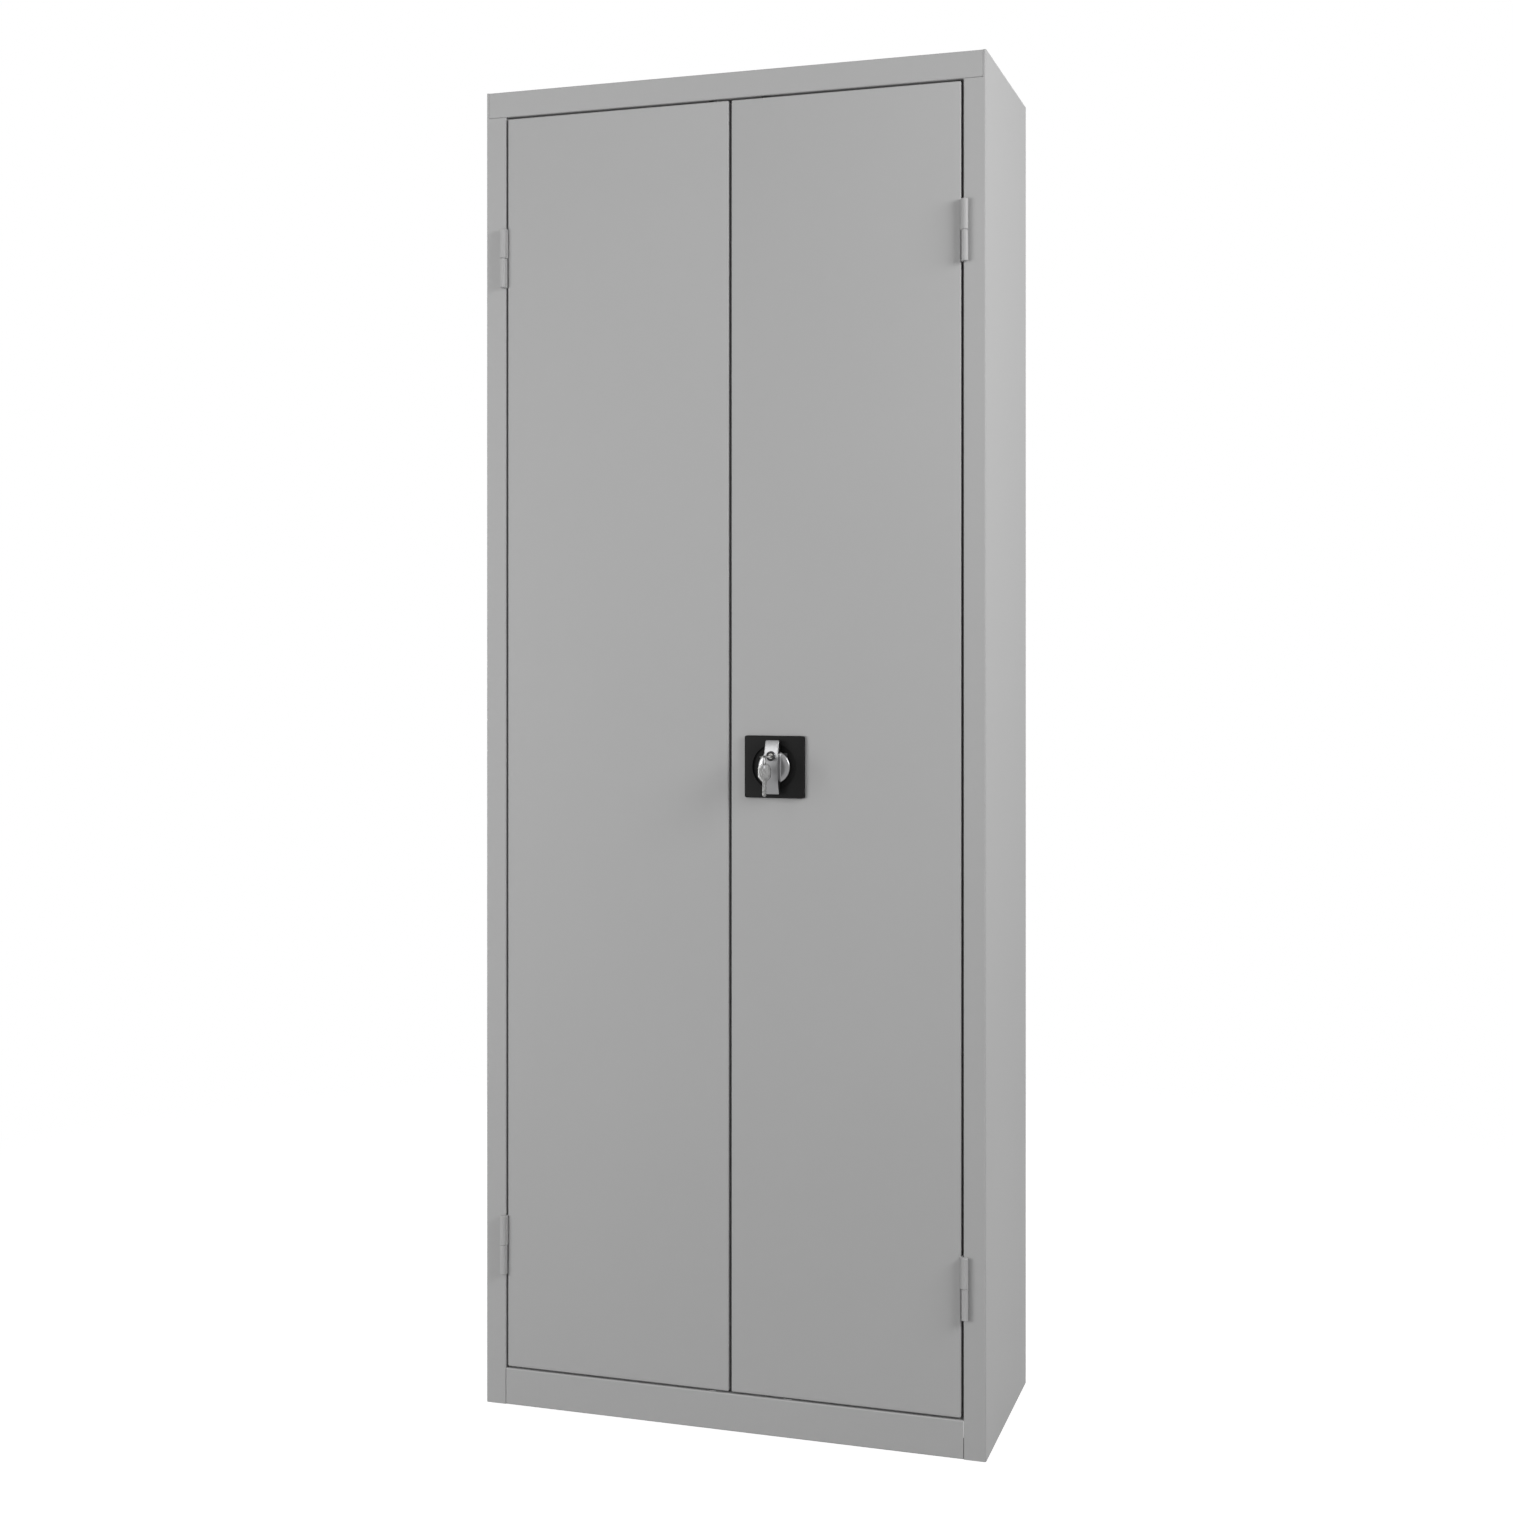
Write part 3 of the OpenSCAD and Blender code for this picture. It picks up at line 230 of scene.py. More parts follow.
black_oxide = finish(
    "black_oxide", (0.05, 0.05, 0.052), drift=0.15, metal=0.6, gloss=(0.42, 0.55),
    relief=0.2, drift_size=20, relief_scale=900)
nylon = finish(
    "nylon", (0.62, 0.6, 0.53), drift=0.03, metal=0.0, gloss=(0.4, 0.5),
    relief=0.1, drift_size=30, relief_scale=900)
rubber = finish(
    "rubber", (0.018, 0.018, 0.018), drift=0.1, metal=0.0, gloss=(0.7, 0.8),
    relief=0.3, drift_size=20, relief_scale=1200)
nickel = finish(
    "nickel", (0.185, 0.185, 0.183), drift=0.35, metal=1.0, gloss=(0.24, 0.42),
    relief=0.7, drift_size=260, relief_scale=420, relief_height=0.0005)
worn_nickel = finish(
    "worn_nickel", (0.46, 0.455, 0.44), drift=0.08, metal=1.0, gloss=(0.18, 0.3),
    relief=0.2, drift_size=60, relief_scale=700)

node_finish = {
    "paint": powder_grey,
    "zinc": bright_zinc,
    "cast_silver": satin_cast,
    "black_plastic": black_moulding,
    "dark_steel": black_oxide,
    "nylon": nylon,
    "rubber": rubber,
    "key_metal": nickel,
}
for part in frame["record"]["subparts"]:
    node = frame["nodes"][part["node"]]
    node.data.materials.clear()
    node.data.materials.append(node_finish[part["material_slot"]])
print(len(node_finish), "finishes on", len(frame["nodes"]), "nodes")


# %% [markdown]
# ## The floor
#
# The cabinet stands on a plain pale floor. Round the cabinet it is a real matt surface that
# takes the cabinet's shadow. A lamp can't light a floor evenly to the horizon, so further out
# the floor's own glow takes over and brings it to the white of the background. The glow is
# only there for the camera and in reflections, and throws no light on the cabinet.

# %% Floor sheet
FLOOR_HALF = 30.0
FLOOR_DROP = 0.0005

floor_bm = bmesh.new()
bmesh.ops.create_grid(floor_bm, x_segments=1, y_segments=1, size=FLOOR_HALF)
floor_mesh = bpy.data.meshes.new("studio_floor")
floor_bm.to_mesh(floor_mesh)
floor_bm.free()
floor = bpy.data.objects.new("studio_floor", floor_mesh)
floor.location.z = -FLOOR_DROP
scene.collection.objects.link(floor)
print("the floor reaches", FLOOR_HALF, "m each way")

# %% Floor surface
FLOOR_GREY = (0.4, 0.4, 0.4, 1)
FLOOR_GLOW = 0.78
SHADOW_ROOM = (0.9, 2.4)

pale_floor = bpy.data.materials.new("pale_floor")
pale_floor.use_nodes = True
floor_tree = pale_floor.node_tree
floor_tree.nodes.clear()
matt = floor_tree.nodes.new("ShaderNodeBsdfDiffuse")
matt.inputs["Color"].default_value = FLOOR_GREY
glow = floor_tree.nodes.new("ShaderNodeEmission")
glow.inputs["Strength"].default_value = FLOOR_GLOW
lit_floor = floor_tree.nodes.new("ShaderNodeAddShader")
white_floor = floor_tree.nodes.new("ShaderNodeEmission")
white_floor.inputs["Strength"].default_value = 1.0
shown_floor = floor_tree.nodes.new("ShaderNodeMixShader")
either_floor = floor_tree.nodes.new("ShaderNodeMixShader")
floor_out = floor_tree.nodes.new("ShaderNodeOutputMaterial")
floor_place = floor_tree.nodes.new("ShaderNodeTexCoord")
reach = floor_tree.nodes.new("ShaderNodeVectorMath")
reach.operation = "LENGTH"
fade = floor_tree.nodes.new("ShaderNodeMapRange")
fade.interpolation_type = "SMOOTHSTEP"
fade.inputs["From Min"].default_value = SHADOW_ROOM[0]
fade.inputs["From Max"].default_value = SHADOW_ROOM[1]
floor_tree.links.new(floor_place.outputs["Object"], reach.inputs[0])
floor_tree.links.new(reach.outputs["Value"], fade.inputs["Value"])
floor_tree.links.new(matt.outputs[0], lit_floor.inputs[0])
floor_tree.links.new(glow.outputs[0], lit_floor.inputs[1])
floor_tree.links.new(fade.outputs["Result"], shown_floor.inputs["Fac"])
floor_tree.links.new(lit_floor.outputs[0], shown_floor.inputs[1])
floor_tree.links.new(white_floor.outputs[0], shown_floor.inputs[2])
floor_tree.links.new(seen_rays(floor_tree), either_floor.inputs["Fac"])
floor_tree.links.new(matt.outputs[0], either_floor.inputs[1])
floor_tree.links.new(shown_floor.outputs[0], either_floor.inputs[2])
floor_tree.links.new(either_floor.outputs[0], floor_out.inputs["Surface"])
floor_mesh.materials.append(pale_floor)
print("the floor keeps shadows up to", SHADOW_ROOM[1], "m from the cabinet")


# %% [markdown]
# ## Helpers for the pieces
#
# A new piece starts as a bmesh. Small pieces of the lock are easiest to think of in
# millimetres, with x to the right, y up and z out of the door, so they are shaped that way
# and moved to the door at the end.

# %% Modelling helpers
MM = 0.001
SAME_PLACE = 1e-6


def box_solid(bm, low, high):
    low, high = Vector(low), Vector(high)
    place = Matrix.Translation((low + high) / 2) @ Matrix.Diagonal((*(high - low), 1))
    return bmesh.ops.create_cube(bm, size=1, matrix=place)["verts"]


def round_bar(bm, radius, low, high, x=0.0, y=0.0, sides=64):
    place = Matrix.Translation((x, y, (low + high) / 2))
    return bmesh.ops.create_cone(
        bm, cap_ends=True, segments=sides, radius1=radius, radius2=radius,
        depth=high - low, matrix=place)["verts"]


def lathe(bm, outline, sides=96):
    points = [bm.verts.new((r, 0, z)) for r, z in outline]
    lines = [bm.edges.new(pair) for pair in zip(points, points[1:])]
    bmesh.ops.spin(
        bm, geom=points + lines, cent=(0, 0, 0), axis=(0, 0, 1), dvec=(0, 0, 0),
        angle=math.tau, steps=sides, use_merge=True, use_duplicate=False)
    bmesh.ops.remove_doubles(bm, verts=bm.verts, dist=1e-5)
    bmesh.ops.recalc_face_normals(bm, faces=bm.faces)


def folds_of(bm, angle=30):
    return [e for e in bm.edges
            if len(e.link_faces) == 2 and e.calc_face_angle(0) > math.radians(angle)]


def soften(bm, edges, radius, segments=3):
    bmesh.ops.bevel(
        bm, geom=edges, offset=radius, offset_type="OFFSET", segments=segments,
        profile=0.5, affect="EDGES", material=-1, clamp_overlap=True)


def carve(bm, tool, how="DIFFERENCE"):
    solids = []
    for shape in (bm, tool):
        mesh = bpy.data.meshes.new("carving")
        shape.to_mesh(mesh)
        shape.free()
        solid = bpy.data.objects.new("carving", mesh)
        scene.collection.objects.link(solid)
        solids.append(solid)
    step = solids[0].modifiers.new("carve", "BOOLEAN")
    step.object = solids[1]
    step.operation = how
    step.solver = "EXACT"
    seen_solid = solids[0].evaluated_get(bpy.context.evaluated_depsgraph_get())
    result = bmesh.new()
    result.from_mesh(seen_solid.to_mesh())
    for solid in solids:
        mesh = solid.data
        bpy.data.objects.remove(solid)
        bpy.data.meshes.remove(mesh)
    return result


def piece(name, bm, body, material, stands_for=(), crease=35, place=None):
    bmesh.ops.recalc_face_normals(bm, faces=bm.faces)
    if place is not None:
        bm.transform(place)
    mesh = bpy.data.meshes.new(name)
    bm.to_mesh(mesh)
    bm.free()
    mesh.shade_smooth()
    mesh.set_sharp_from_angle(angle=math.radians(crease))
    mesh.materials.append(material)
    made = bpy.data.objects.new(name, mesh)
    scene.collection.objects.link(made)
    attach(made, body)
    if stands_for:
        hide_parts(*stands_for)
    print(name, "has", len(mesh.polygons), "faces")
    return made


# %% Helpers that run a modifier
def through(bm, *steps):
    mesh = bpy.data.meshes.new("blank")
    bm.to_mesh(mesh)
    bm.free()
    blank = bpy.data.objects.new("blank", mesh)
    scene.collection.objects.link(blank)
    for kind, settings in steps:
        step = blank.modifiers.new(kind.lower(), kind)
        for setting, value in settings.items():
            setattr(step, setting, value)
    done = blank.evaluated_get(bpy.context.evaluated_depsgraph_get())
    result = bmesh.new()
    result.from_mesh(done.to_mesh())
    bpy.data.objects.remove(blank)
    bpy.data.meshes.remove(mesh)
    return result


def joined(parts):
    whole = bmesh.new()
    for part in parts:
        mesh = bpy.data.meshes.new("part")
        part.to_mesh(mesh)
        part.free()
        whole.from_mesh(mesh)
        bpy.data.meshes.remove(mesh)
    return whole


# %% [markdown]
# ## The doors
#
# Each door is one sheet of steel folded into a shallow tray, with a second fold along its long
# back edges. A flat slab would miss the soft bends that catch the light round each gap. So
# the tray starts as an open box, grows its back folds, gets a radius on every fold, and is
# then given the sheet's thickness. The two meeting edges and the edge on the right stand back
# by a hair, because the photographed lines in the middle and on the right are a little wider
# than the others.

# %% Door trays
SHEET = 0.001
BEND = 0.0021
RETURN = 0.015
MEETING_GAP = 0.0042
RIGHT_EDGE_BACK = 0.0007
ROD_HOLE_R = 0.0042
HOLE_REACH = 0.004


def door_tray(name, node, body, set_back, rod_holes):
    low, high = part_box(node)
    low.x += set_back[0]
    high.x -= set_back[1]
    bm = bmesh.new()
    box_solid(bm, low, high)
    bmesh.ops.delete(bm, geom=[f for f in bm.faces if f.normal.y > 0.9], context="FACES_ONLY")
    for level in (low.z + 2 * BEND, high.z - 2 * BEND):
        bmesh.ops.bisect_plane(
            bm, geom=bm.verts[:] + bm.edges[:] + bm.faces[:],
            plane_co=(0, 0, level), plane_no=(0, 0, 1))
    for side, inwards in ((low.x, RETURN), (high.x, -RETURN)):
        rim = [e for e in bm.edges if e.is_boundary
               and all(abs(v.co.x - side) < SAME_PLACE for v in e.verts)
               and all(low.z + BEND < v.co.z < high.z - BEND for v in e.verts)]
        grown = bmesh.ops.extrude_edge_only(bm, edges=rim)["geom"]
        corners = [g for g in grown if isinstance(g, bmesh.types.BMVert)]
        bmesh.ops.translate(bm, verts=corners, vec=(inwards, 0, 0))
    soften(bm, folds_of(bm), BEND, segments=5)
    bmesh.ops.recalc_face_normals(bm, faces=bm.faces)
    bmesh.ops.solidify(bm, geom=bm.faces[:], thickness=SHEET)
    tool = bmesh.new()
    for x, y, z in rod_holes:
        round_bar(tool, ROD_HOLE_R, z - HOLE_REACH, z + HOLE_REACH, x, y, sides=48)
    bm = carve(bm, tool)
    piece(name, bm, body, powder_grey, (node,))


# %% Both doors
rod_low, rod_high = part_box("upper_rod")
low_rod_low, low_rod_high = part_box("lower_rod")
bolt_low, bolt_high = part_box("upper_slide_bolt")
left_low, left_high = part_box("left_door_panel")
rod_y = (rod_low.y + rod_high.y) / 2
bolt_x = (bolt_low.x + bolt_high.x) / 2
set_back = (MEETING_GAP - (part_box("right_door_panel")[0].x - left_high.x)) / 2
door_tray("left_door_tray", "left_door_panel", "left_door", (0, set_back), [
    (bolt_x, rod_y, left_low.z), (bolt_x, rod_y, left_high.z)])
door_tray("right_door_tray", "right_door_panel", "right_door", (set_back, RIGHT_EDGE_BACK), [
    ((rod_low.x + rod_high.x) / 2, rod_y, left_high.z),
    ((low_rod_low.x + low_rod_high.x) / 2, rod_y, left_low.z)])

# %% [markdown]
# ## Hinges
#
# Each hinge is a pair of barrels on one pin, with leaves that slip into the door's gap. The
# lower half is welded to the post and the upper one to the door, so that the door lifts off.
# A barrel is a turned tube, so its half outline is spun round the pin's axis. Its ends are
# eased by a short slope, which gives the dark line at the seam and a light one beside it.

# %% Hinge halves
HINGE_SEAM = 0.0004
BARREL_R = 0.0045
BARREL_EASE = 0.0007
LEAF_T = 0.002
SIDE_GAP = 0.003
POST_BORE_R = 0.0025
DOOR_BORE_R = 0.00258
BORE_PAST = 0.001
PIN_COVER = 0.005

posts_low, posts_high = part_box("hinge_posts")
leaves_low, leaves_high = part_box("right_hinge_leaves")
right_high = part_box("right_door_panel")[1]
hinge_x = posts_high.x - BARREL_R
hinge_y = posts_low.y + BARREL_R
half_len = leaves_high.z - posts_high.z - HINGE_SEAM


def hinge_half(base_z, side, leaf_x, leaf_t, bore_r, bore_len):
    top_z = base_z + half_len
    barrel = bmesh.new()
    lathe(barrel, [
        (0, base_z), (BARREL_R - BARREL_EASE, base_z), (BARREL_R, base_z + BARREL_EASE),
        (BARREL_R, top_z - BARREL_EASE), (BARREL_R - BARREL_EASE, top_z), (0, top_z)],
        sides=64)
    bmesh.ops.translate(barrel, verts=barrel.verts, vec=(side * hinge_x, hinge_y, 0))
    leaf = bmesh.new()
    edges = sorted((side * leaf_x, side * (leaf_x + leaf_t)))
    box_solid(leaf, (edges[0], hinge_y, base_z), (edges[1], leaves_high.y, top_z))
    half = carve(barrel, leaf, "UNION")
    bore = bmesh.new()
    round_bar(
        bore, bore_r, base_z - BORE_PAST, base_z + bore_len, side * hinge_x, hinge_y, sides=48)
    return carve(half, bore)


# %% Hinges on posts and doors
post_bases = (posts_low.z, posts_high.z - half_len)
door_bases = (leaves_low.z, leaves_high.z - half_len)
post_leaf_x = right_high.x + SIDE_GAP - LEAF_T
piece("post_barrels", joined([
    hinge_half(base, side, post_leaf_x, LEAF_T, POST_BORE_R, half_len + BORE_PAST)
    for side in (-1, 1) for base in post_bases]),
    "case", powder_grey, ("hinge_posts",))
for side, where, back in ((-1, "left", 0), (1, "right", RIGHT_EDGE_BACK)):
    piece(where + "_door_barrels", joined([
        hinge_half(base, side, right_high.x - back, LEAF_T + back, DOOR_BORE_R,
                   half_len - PIN_COVER)
        for base in door_bases]),
        where + "_door", powder_grey, (where + "_hinge_leaves",))

# %% [markdown]
# ## The lock plate
#
# The plate is a square black moulding with soft corners. The handle's round base stands in a
# round recess. Under the recess's rim a deeper pocket takes the tongue of the key lock, both
# where the tongue points up with the handle at rest and where it does after a quarter turn.
# The pocket is cut with plain round tools, because only its reach beyond the rim matters.

# %% The lock's own frame, in millimetres
plate_low, plate_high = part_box("lock_plate")
handle_low, handle_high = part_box("handle")
housing_low, housing_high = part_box("lock_housing")
lock_centre = Vector((
    (plate_low.x + plate_high.x) / 2, plate_high.y, (plate_low.z + plate_high.z) / 2))
LOCK_FRAME = (Matrix.Translation(lock_centre) @ Matrix.Rotation(math.radians(90), 4, "X")
              @ Matrix.Scale(MM, 4))
PLATE = (plate_high.x - plate_low.x) / MM
PLATE_T = (plate_high.y - plate_low.y) / MM
GRIP_TOP = (lock_centre.y - handle_low.y) / MM
LOCK_FACE = (lock_centre.y - housing_low.y) / MM
KEY_Y = ((housing_low.z + housing_high.z) / 2 - lock_centre.z) / MM
print("plate", round(PLATE, 1), "mm, grip", round(GRIP_TOP, 2), "mm high, key lock",
      round(KEY_Y, 2), "mm above the spindle")

# %% Lock plate
PLATE_CORNER = 3.0
PLATE_EASE = 0.8
RECESS_R = 33.0
RECESS_FLOOR = 1.5
POCKET_R = 19.9
POCKET_TOP = 4.5

plate = bmesh.new()
box_solid(plate, (-PLATE / 2, -PLATE / 2, 0), (PLATE / 2, PLATE / 2, PLATE_T))
upright_edges = [e for e in plate.edges if abs(e.verts[0].co.z - e.verts[1].co.z) > 1]
soften(plate, upright_edges, PLATE_CORNER, segments=10)
face_edges = [e for e in folds_of(plate, 60) if all(v.co.z > PLATE_T - 0.01 for v in e.verts)]
soften(plate, face_edges, PLATE_EASE, segments=4)
recess = bmesh.new()
round_bar(recess, RECESS_R, RECESS_FLOOR, PLATE_T + 1, sides=160)
plate = carve(plate, recess)
for pocket_x, pocket_y in ((0, KEY_Y), (KEY_Y, 0)):
    pocket = bmesh.new()
    round_bar(pocket, POCKET_R, RECESS_FLOOR, POCKET_TOP, pocket_x, pocket_y, sides=120)
    plate = carve(plate, pocket)
print("the recess leaves", round(PLATE / 2 - RECESS_R, 1), "mm of plate at the sides")

# %% Holes of the lock plate
SPINDLE_R = 6.0
SPINDLE_PLAY = 0.5
SCREW_INSET = 3.5
SCREW_HOLE_R = 2.15
SCREW_HOLE_ROOF = 1

screws_low, screws_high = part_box("lock_screws")
screw_x = (screws_high.x - screws_low.x) / MM / 2 - SCREW_INSET
screw_y = (screws_high.z - screws_low.z) / MM / 2 - SCREW_INSET
holes = bmesh.new()
round_bar(holes, SPINDLE_R + SPINDLE_PLAY, -1, PLATE_T)
for x in (-screw_x, screw_x):
    for y in (-screw_y, screw_y):
        round_bar(holes, SCREW_HOLE_R, -1, PLATE_T - SCREW_HOLE_ROOF, x, y, sides=32)
plate = carve(plate, holes)
piece("moulded_lock_plate", plate, "right_door", black_moulding, ("lock_plate",),
      30, LOCK_FRAME)

# %% [markdown]
# ## The cast handle
#
# The handle is one casting: a neck, a round base with a soft rim, and a broad grip that rises
# in an arc to its middle. A casting has no sharp inner corners. So the shapes are joined
# first, then rebuilt as one even skin, and smoothed a little, which rounds every corner as
# sand and polish do. The bores for the spindle and the key lock are cut last, because they
# are machined and stay crisp.

# %% Round base of the handle
HUB_R = (handle_high.x - handle_low.x) / MM / 2
HUB_TOP = 9.5
HUB_LOW = 4.6
NECK_R = 9.0
NECK_LOW = 1.7
DOME_W = 8.0
DOME_H = 3.2

dome = [
    (HUB_R - DOME_W * (1 - math.cos(a)), HUB_TOP - DOME_H * (1 - math.sin(a)))
    for a in (math.radians(k) for k in range(0, 91, 10))]
casting = bmesh.new()
lathe(casting, [(0, NECK_LOW), (NECK_R, NECK_LOW), (NECK_R, HUB_LOW), (HUB_R, HUB_LOW)]
      + dome + [(0, HUB_TOP)], sides=120)
print("the handle's base is", round(2 * HUB_R, 1), "mm across")

# %% Arched grip
GRIP_L = (handle_high.z - handle_low.z) / MM
GRIP_W = 20.5
GRIP_END = 14.5
GRIP_CORNER = 2.4
GRIP_SINK = 0.5
ARCH_STEPS = 40

arc_rise = GRIP_TOP - GRIP_END
arc_r = (GRIP_L * GRIP_L / 4 + arc_rise * arc_rise) / (2 * arc_rise)
arc_step = GRIP_L / ARCH_STEPS
arch = [GRIP_L / 2 - k * arc_step for k in range(ARCH_STEPS + 1)]
grip = bmesh.new()
side_face = grip.faces.new([
    grip.verts.new((-GRIP_W / 2, y, z))
    for y, z in [(-GRIP_L / 2, HUB_TOP - GRIP_SINK), (GRIP_L / 2, HUB_TOP - GRIP_SINK)]
    + [(y, GRIP_TOP - arc_r + math.sqrt(arc_r * arc_r - y * y)) for y in arch]])
pulled = bmesh.ops.extrude_face_region(grip, geom=[side_face])["geom"]
bmesh.ops.translate(
    grip, verts=[g for g in pulled if isinstance(g, bmesh.types.BMVert)], vec=(GRIP_W, 0, 0))
bmesh.ops.recalc_face_normals(grip, faces=grip.faces)
end_edges = [e for e in grip.edges
             if all(abs(abs(v.co.y) - GRIP_L / 2) < 1e-4 for v in e.verts)
             and abs(e.verts[0].co.z - e.verts[1].co.z) > 1]
soften(grip, end_edges, GRIP_CORNER, segments=6)
print("the grip's arc has a radius of", round(arc_r, 1), "mm")

# %% One even skin
SKIN_VOXEL = 0.42
POLISH_TURNS = 12

casting = carve(casting, grip, "UNION")
casting = through(
    casting,
    ("REMESH", {"mode": "VOXEL", "voxel_size": SKIN_VOXEL}),
    ("SMOOTH", {"factor": 0.5, "iterations": POLISH_TURNS}))
print("the casting's skin has", len(casting.faces), "faces")

# %% Bores of the handle
HOUSING_R = 5.06
COLLAR_R = (housing_high.x - housing_low.x) / MM / 2
COLLAR_T = 3.0
BORE_GAP = 0.1
SPINDLE_FIT = 0.05
SPINDLE_RISE = 0.9
CLEAR = 5

bores = bmesh.new()
round_bar(bores, SPINDLE_R + SPINDLE_FIT, 0, HUB_TOP + SPINDLE_RISE)
round_bar(bores, HOUSING_R + BORE_GAP, 0, GRIP_TOP + CLEAR, 0, KEY_Y)
casting = carve(casting, bores)
counterbore = bmesh.new()
round_bar(
    counterbore, COLLAR_R + BORE_GAP, LOCK_FACE - COLLAR_T, GRIP_TOP + CLEAR, 0, KEY_Y, sides=96)
casting = carve(casting, counterbore)
piece("cast_handle", casting, "turn_handle", satin_cast, ("handle",),
      38, LOCK_FRAME)

# %% [markdown]
# ## The key lock
#
# The key lock is a thin tube in the handle, with a dark collar that stands proud of the grip,
# and a dull nickel plug with a keyway. Both are turned parts, so their half outlines are spun.
# The collar's rim slopes off outside and in, and the slopes give it its two bright rings.

# %% Housing
PLUG_R = 4.0
PLUG_PLAY = 0.06
OUTER_SLOPE = 0.9
INNER_SLOPE_W = 0.7
INNER_SLOPE_H = 0.6

housing_z = (lock_centre.y - housing_high.y) / MM
collar_z = LOCK_FACE - COLLAR_T
tube = bmesh.new()
lathe(tube, [
    (PLUG_R + PLUG_PLAY, housing_z), (HOUSING_R, housing_z), (HOUSING_R, collar_z),
    (COLLAR_R, collar_z), (COLLAR_R, LOCK_FACE - OUTER_SLOPE),
    (COLLAR_R - OUTER_SLOPE, LOCK_FACE), (PLUG_R + INNER_SLOPE_W, LOCK_FACE),
    (PLUG_R + PLUG_PLAY, LOCK_FACE - INNER_SLOPE_H), (PLUG_R + PLUG_PLAY, housing_z)])
bmesh.ops.translate(tube, verts=tube.verts, vec=(0, KEY_Y, 0))
piece("lock_collar", tube, "turn_handle", black_chrome, ("lock_housing",),
      30, LOCK_FRAME)

# %% Plug
PLUG_SINK = 0.3
PLUG_EASE = 0.3
KEYWAY_W = 6.0
KEYWAY_H = 2.4
KEYWAY_FLOOR = 0.9
TAIL_W = 3.6
TAIL_BITE = 0.4

plug_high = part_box("lock_plug")[1]
tail_z = (lock_centre.y - plug_high.y) / MM
plug_face = LOCK_FACE - PLUG_SINK
plug = bmesh.new()
lathe(plug, [
    (0, HUB_LOW - BORE_GAP), (PLUG_R, HUB_LOW - BORE_GAP), (PLUG_R, plug_face - PLUG_EASE),
    (PLUG_R - PLUG_EASE, plug_face), (0, plug_face)], sides=64)
tail = bmesh.new()
box_solid(
    tail, (-TAIL_W / 2, -TAIL_W / 2, tail_z), (TAIL_W / 2, TAIL_W / 2, HUB_LOW + TAIL_BITE))
plug = carve(plug, tail, "UNION")
keyway = bmesh.new()
box_solid(keyway, (-KEYWAY_W / 2, -KEYWAY_H / 2, HUB_LOW + KEYWAY_FLOOR),
          (KEYWAY_W / 2, KEYWAY_H / 2, LOCK_FACE))
plug = carve(plug, keyway)
bmesh.ops.translate(plug, verts=plug.verts, vec=(0, KEY_Y, 0))
piece("keyed_plug", plug, "plug", worn_nickel, ("lock_plug",), 30, LOCK_FRAME)

# %% [markdown]
# ## Keys
#
# Both keys are stamped from one blank: a broad bow with a hole near its end, short shoulders,
# and a blade cut with the teeth of one code. The face of the bow is pressed in a little
# inside a raised rim, with three plain grip ribs, and a groove runs down the blade. One key is
# in the lock with its bow level, and the spare hangs from it on a small ring.

# %% Outline of a key
KEY_T = 2.0
BOW_W = 18.5
BOW_L = 26.0
NECK_ROUND = 1.6
NECK_ARC = 55
SHOULDER_W = 8.6
SHOULDER_H = 5.0
SHOULDER_EASE = 0.4
BLADE_W = 5.6
BLADE_L = 22.0
BLADE_POINT = 2

half_bow = BOW_W / 2
half_blade = BLADE_W / 2
half_shoulder = SHOULDER_W / 2


def arc(x, y, r, start, end, steps):
    turns = [math.radians(start + (end - start) * k / steps) for k in range(steps + 1)]
    return [(x + r * math.cos(a), y + r * math.sin(a)) for a in turns]


neck_x, neck_y = half_bow - NECK_ROUND, SHOULDER_H + NECK_ROUND
key_outline = arc(0, BOW_L - half_bow, half_bow, 0, 180, 48)
key_outline += arc(-neck_x, neck_y, NECK_ROUND, 180, 180 + NECK_ARC, 6)
key_outline += [
    (-half_shoulder, SHOULDER_EASE), (SHOULDER_EASE - half_shoulder, 0), (-half_blade, 0),
    (-half_blade, BLADE_POINT - BLADE_L), (BLADE_POINT - half_blade, -BLADE_L),
    (half_blade - BLADE_POINT, -BLADE_L), (half_blade, BLADE_POINT - BLADE_L), (half_blade, 0),
    (half_shoulder - SHOULDER_EASE, 0), (half_shoulder, SHOULDER_EASE)]
key_outline += arc(neck_x, neck_y, NECK_ROUND, -NECK_ARC, 0, 6)
print("a key's outline has", len(key_outline), "points")

# %% Stamped bow
KEY_EASE = 0.25
PRESS_RIM = 1.6
PRESS_DEPTH = 0.5
PRESS_DOWN = 2.2
PRESS_SQUASH = 0.72
RIB_PLACES = (6.6, 9.4, 12.2)
RIB_L = 9.0
RIB_W = 1.2
RIB_H = 0.25
RIB_BITE = 0.02
BOW_HOLE_R = 3.3
BOW_RIM = 1.7


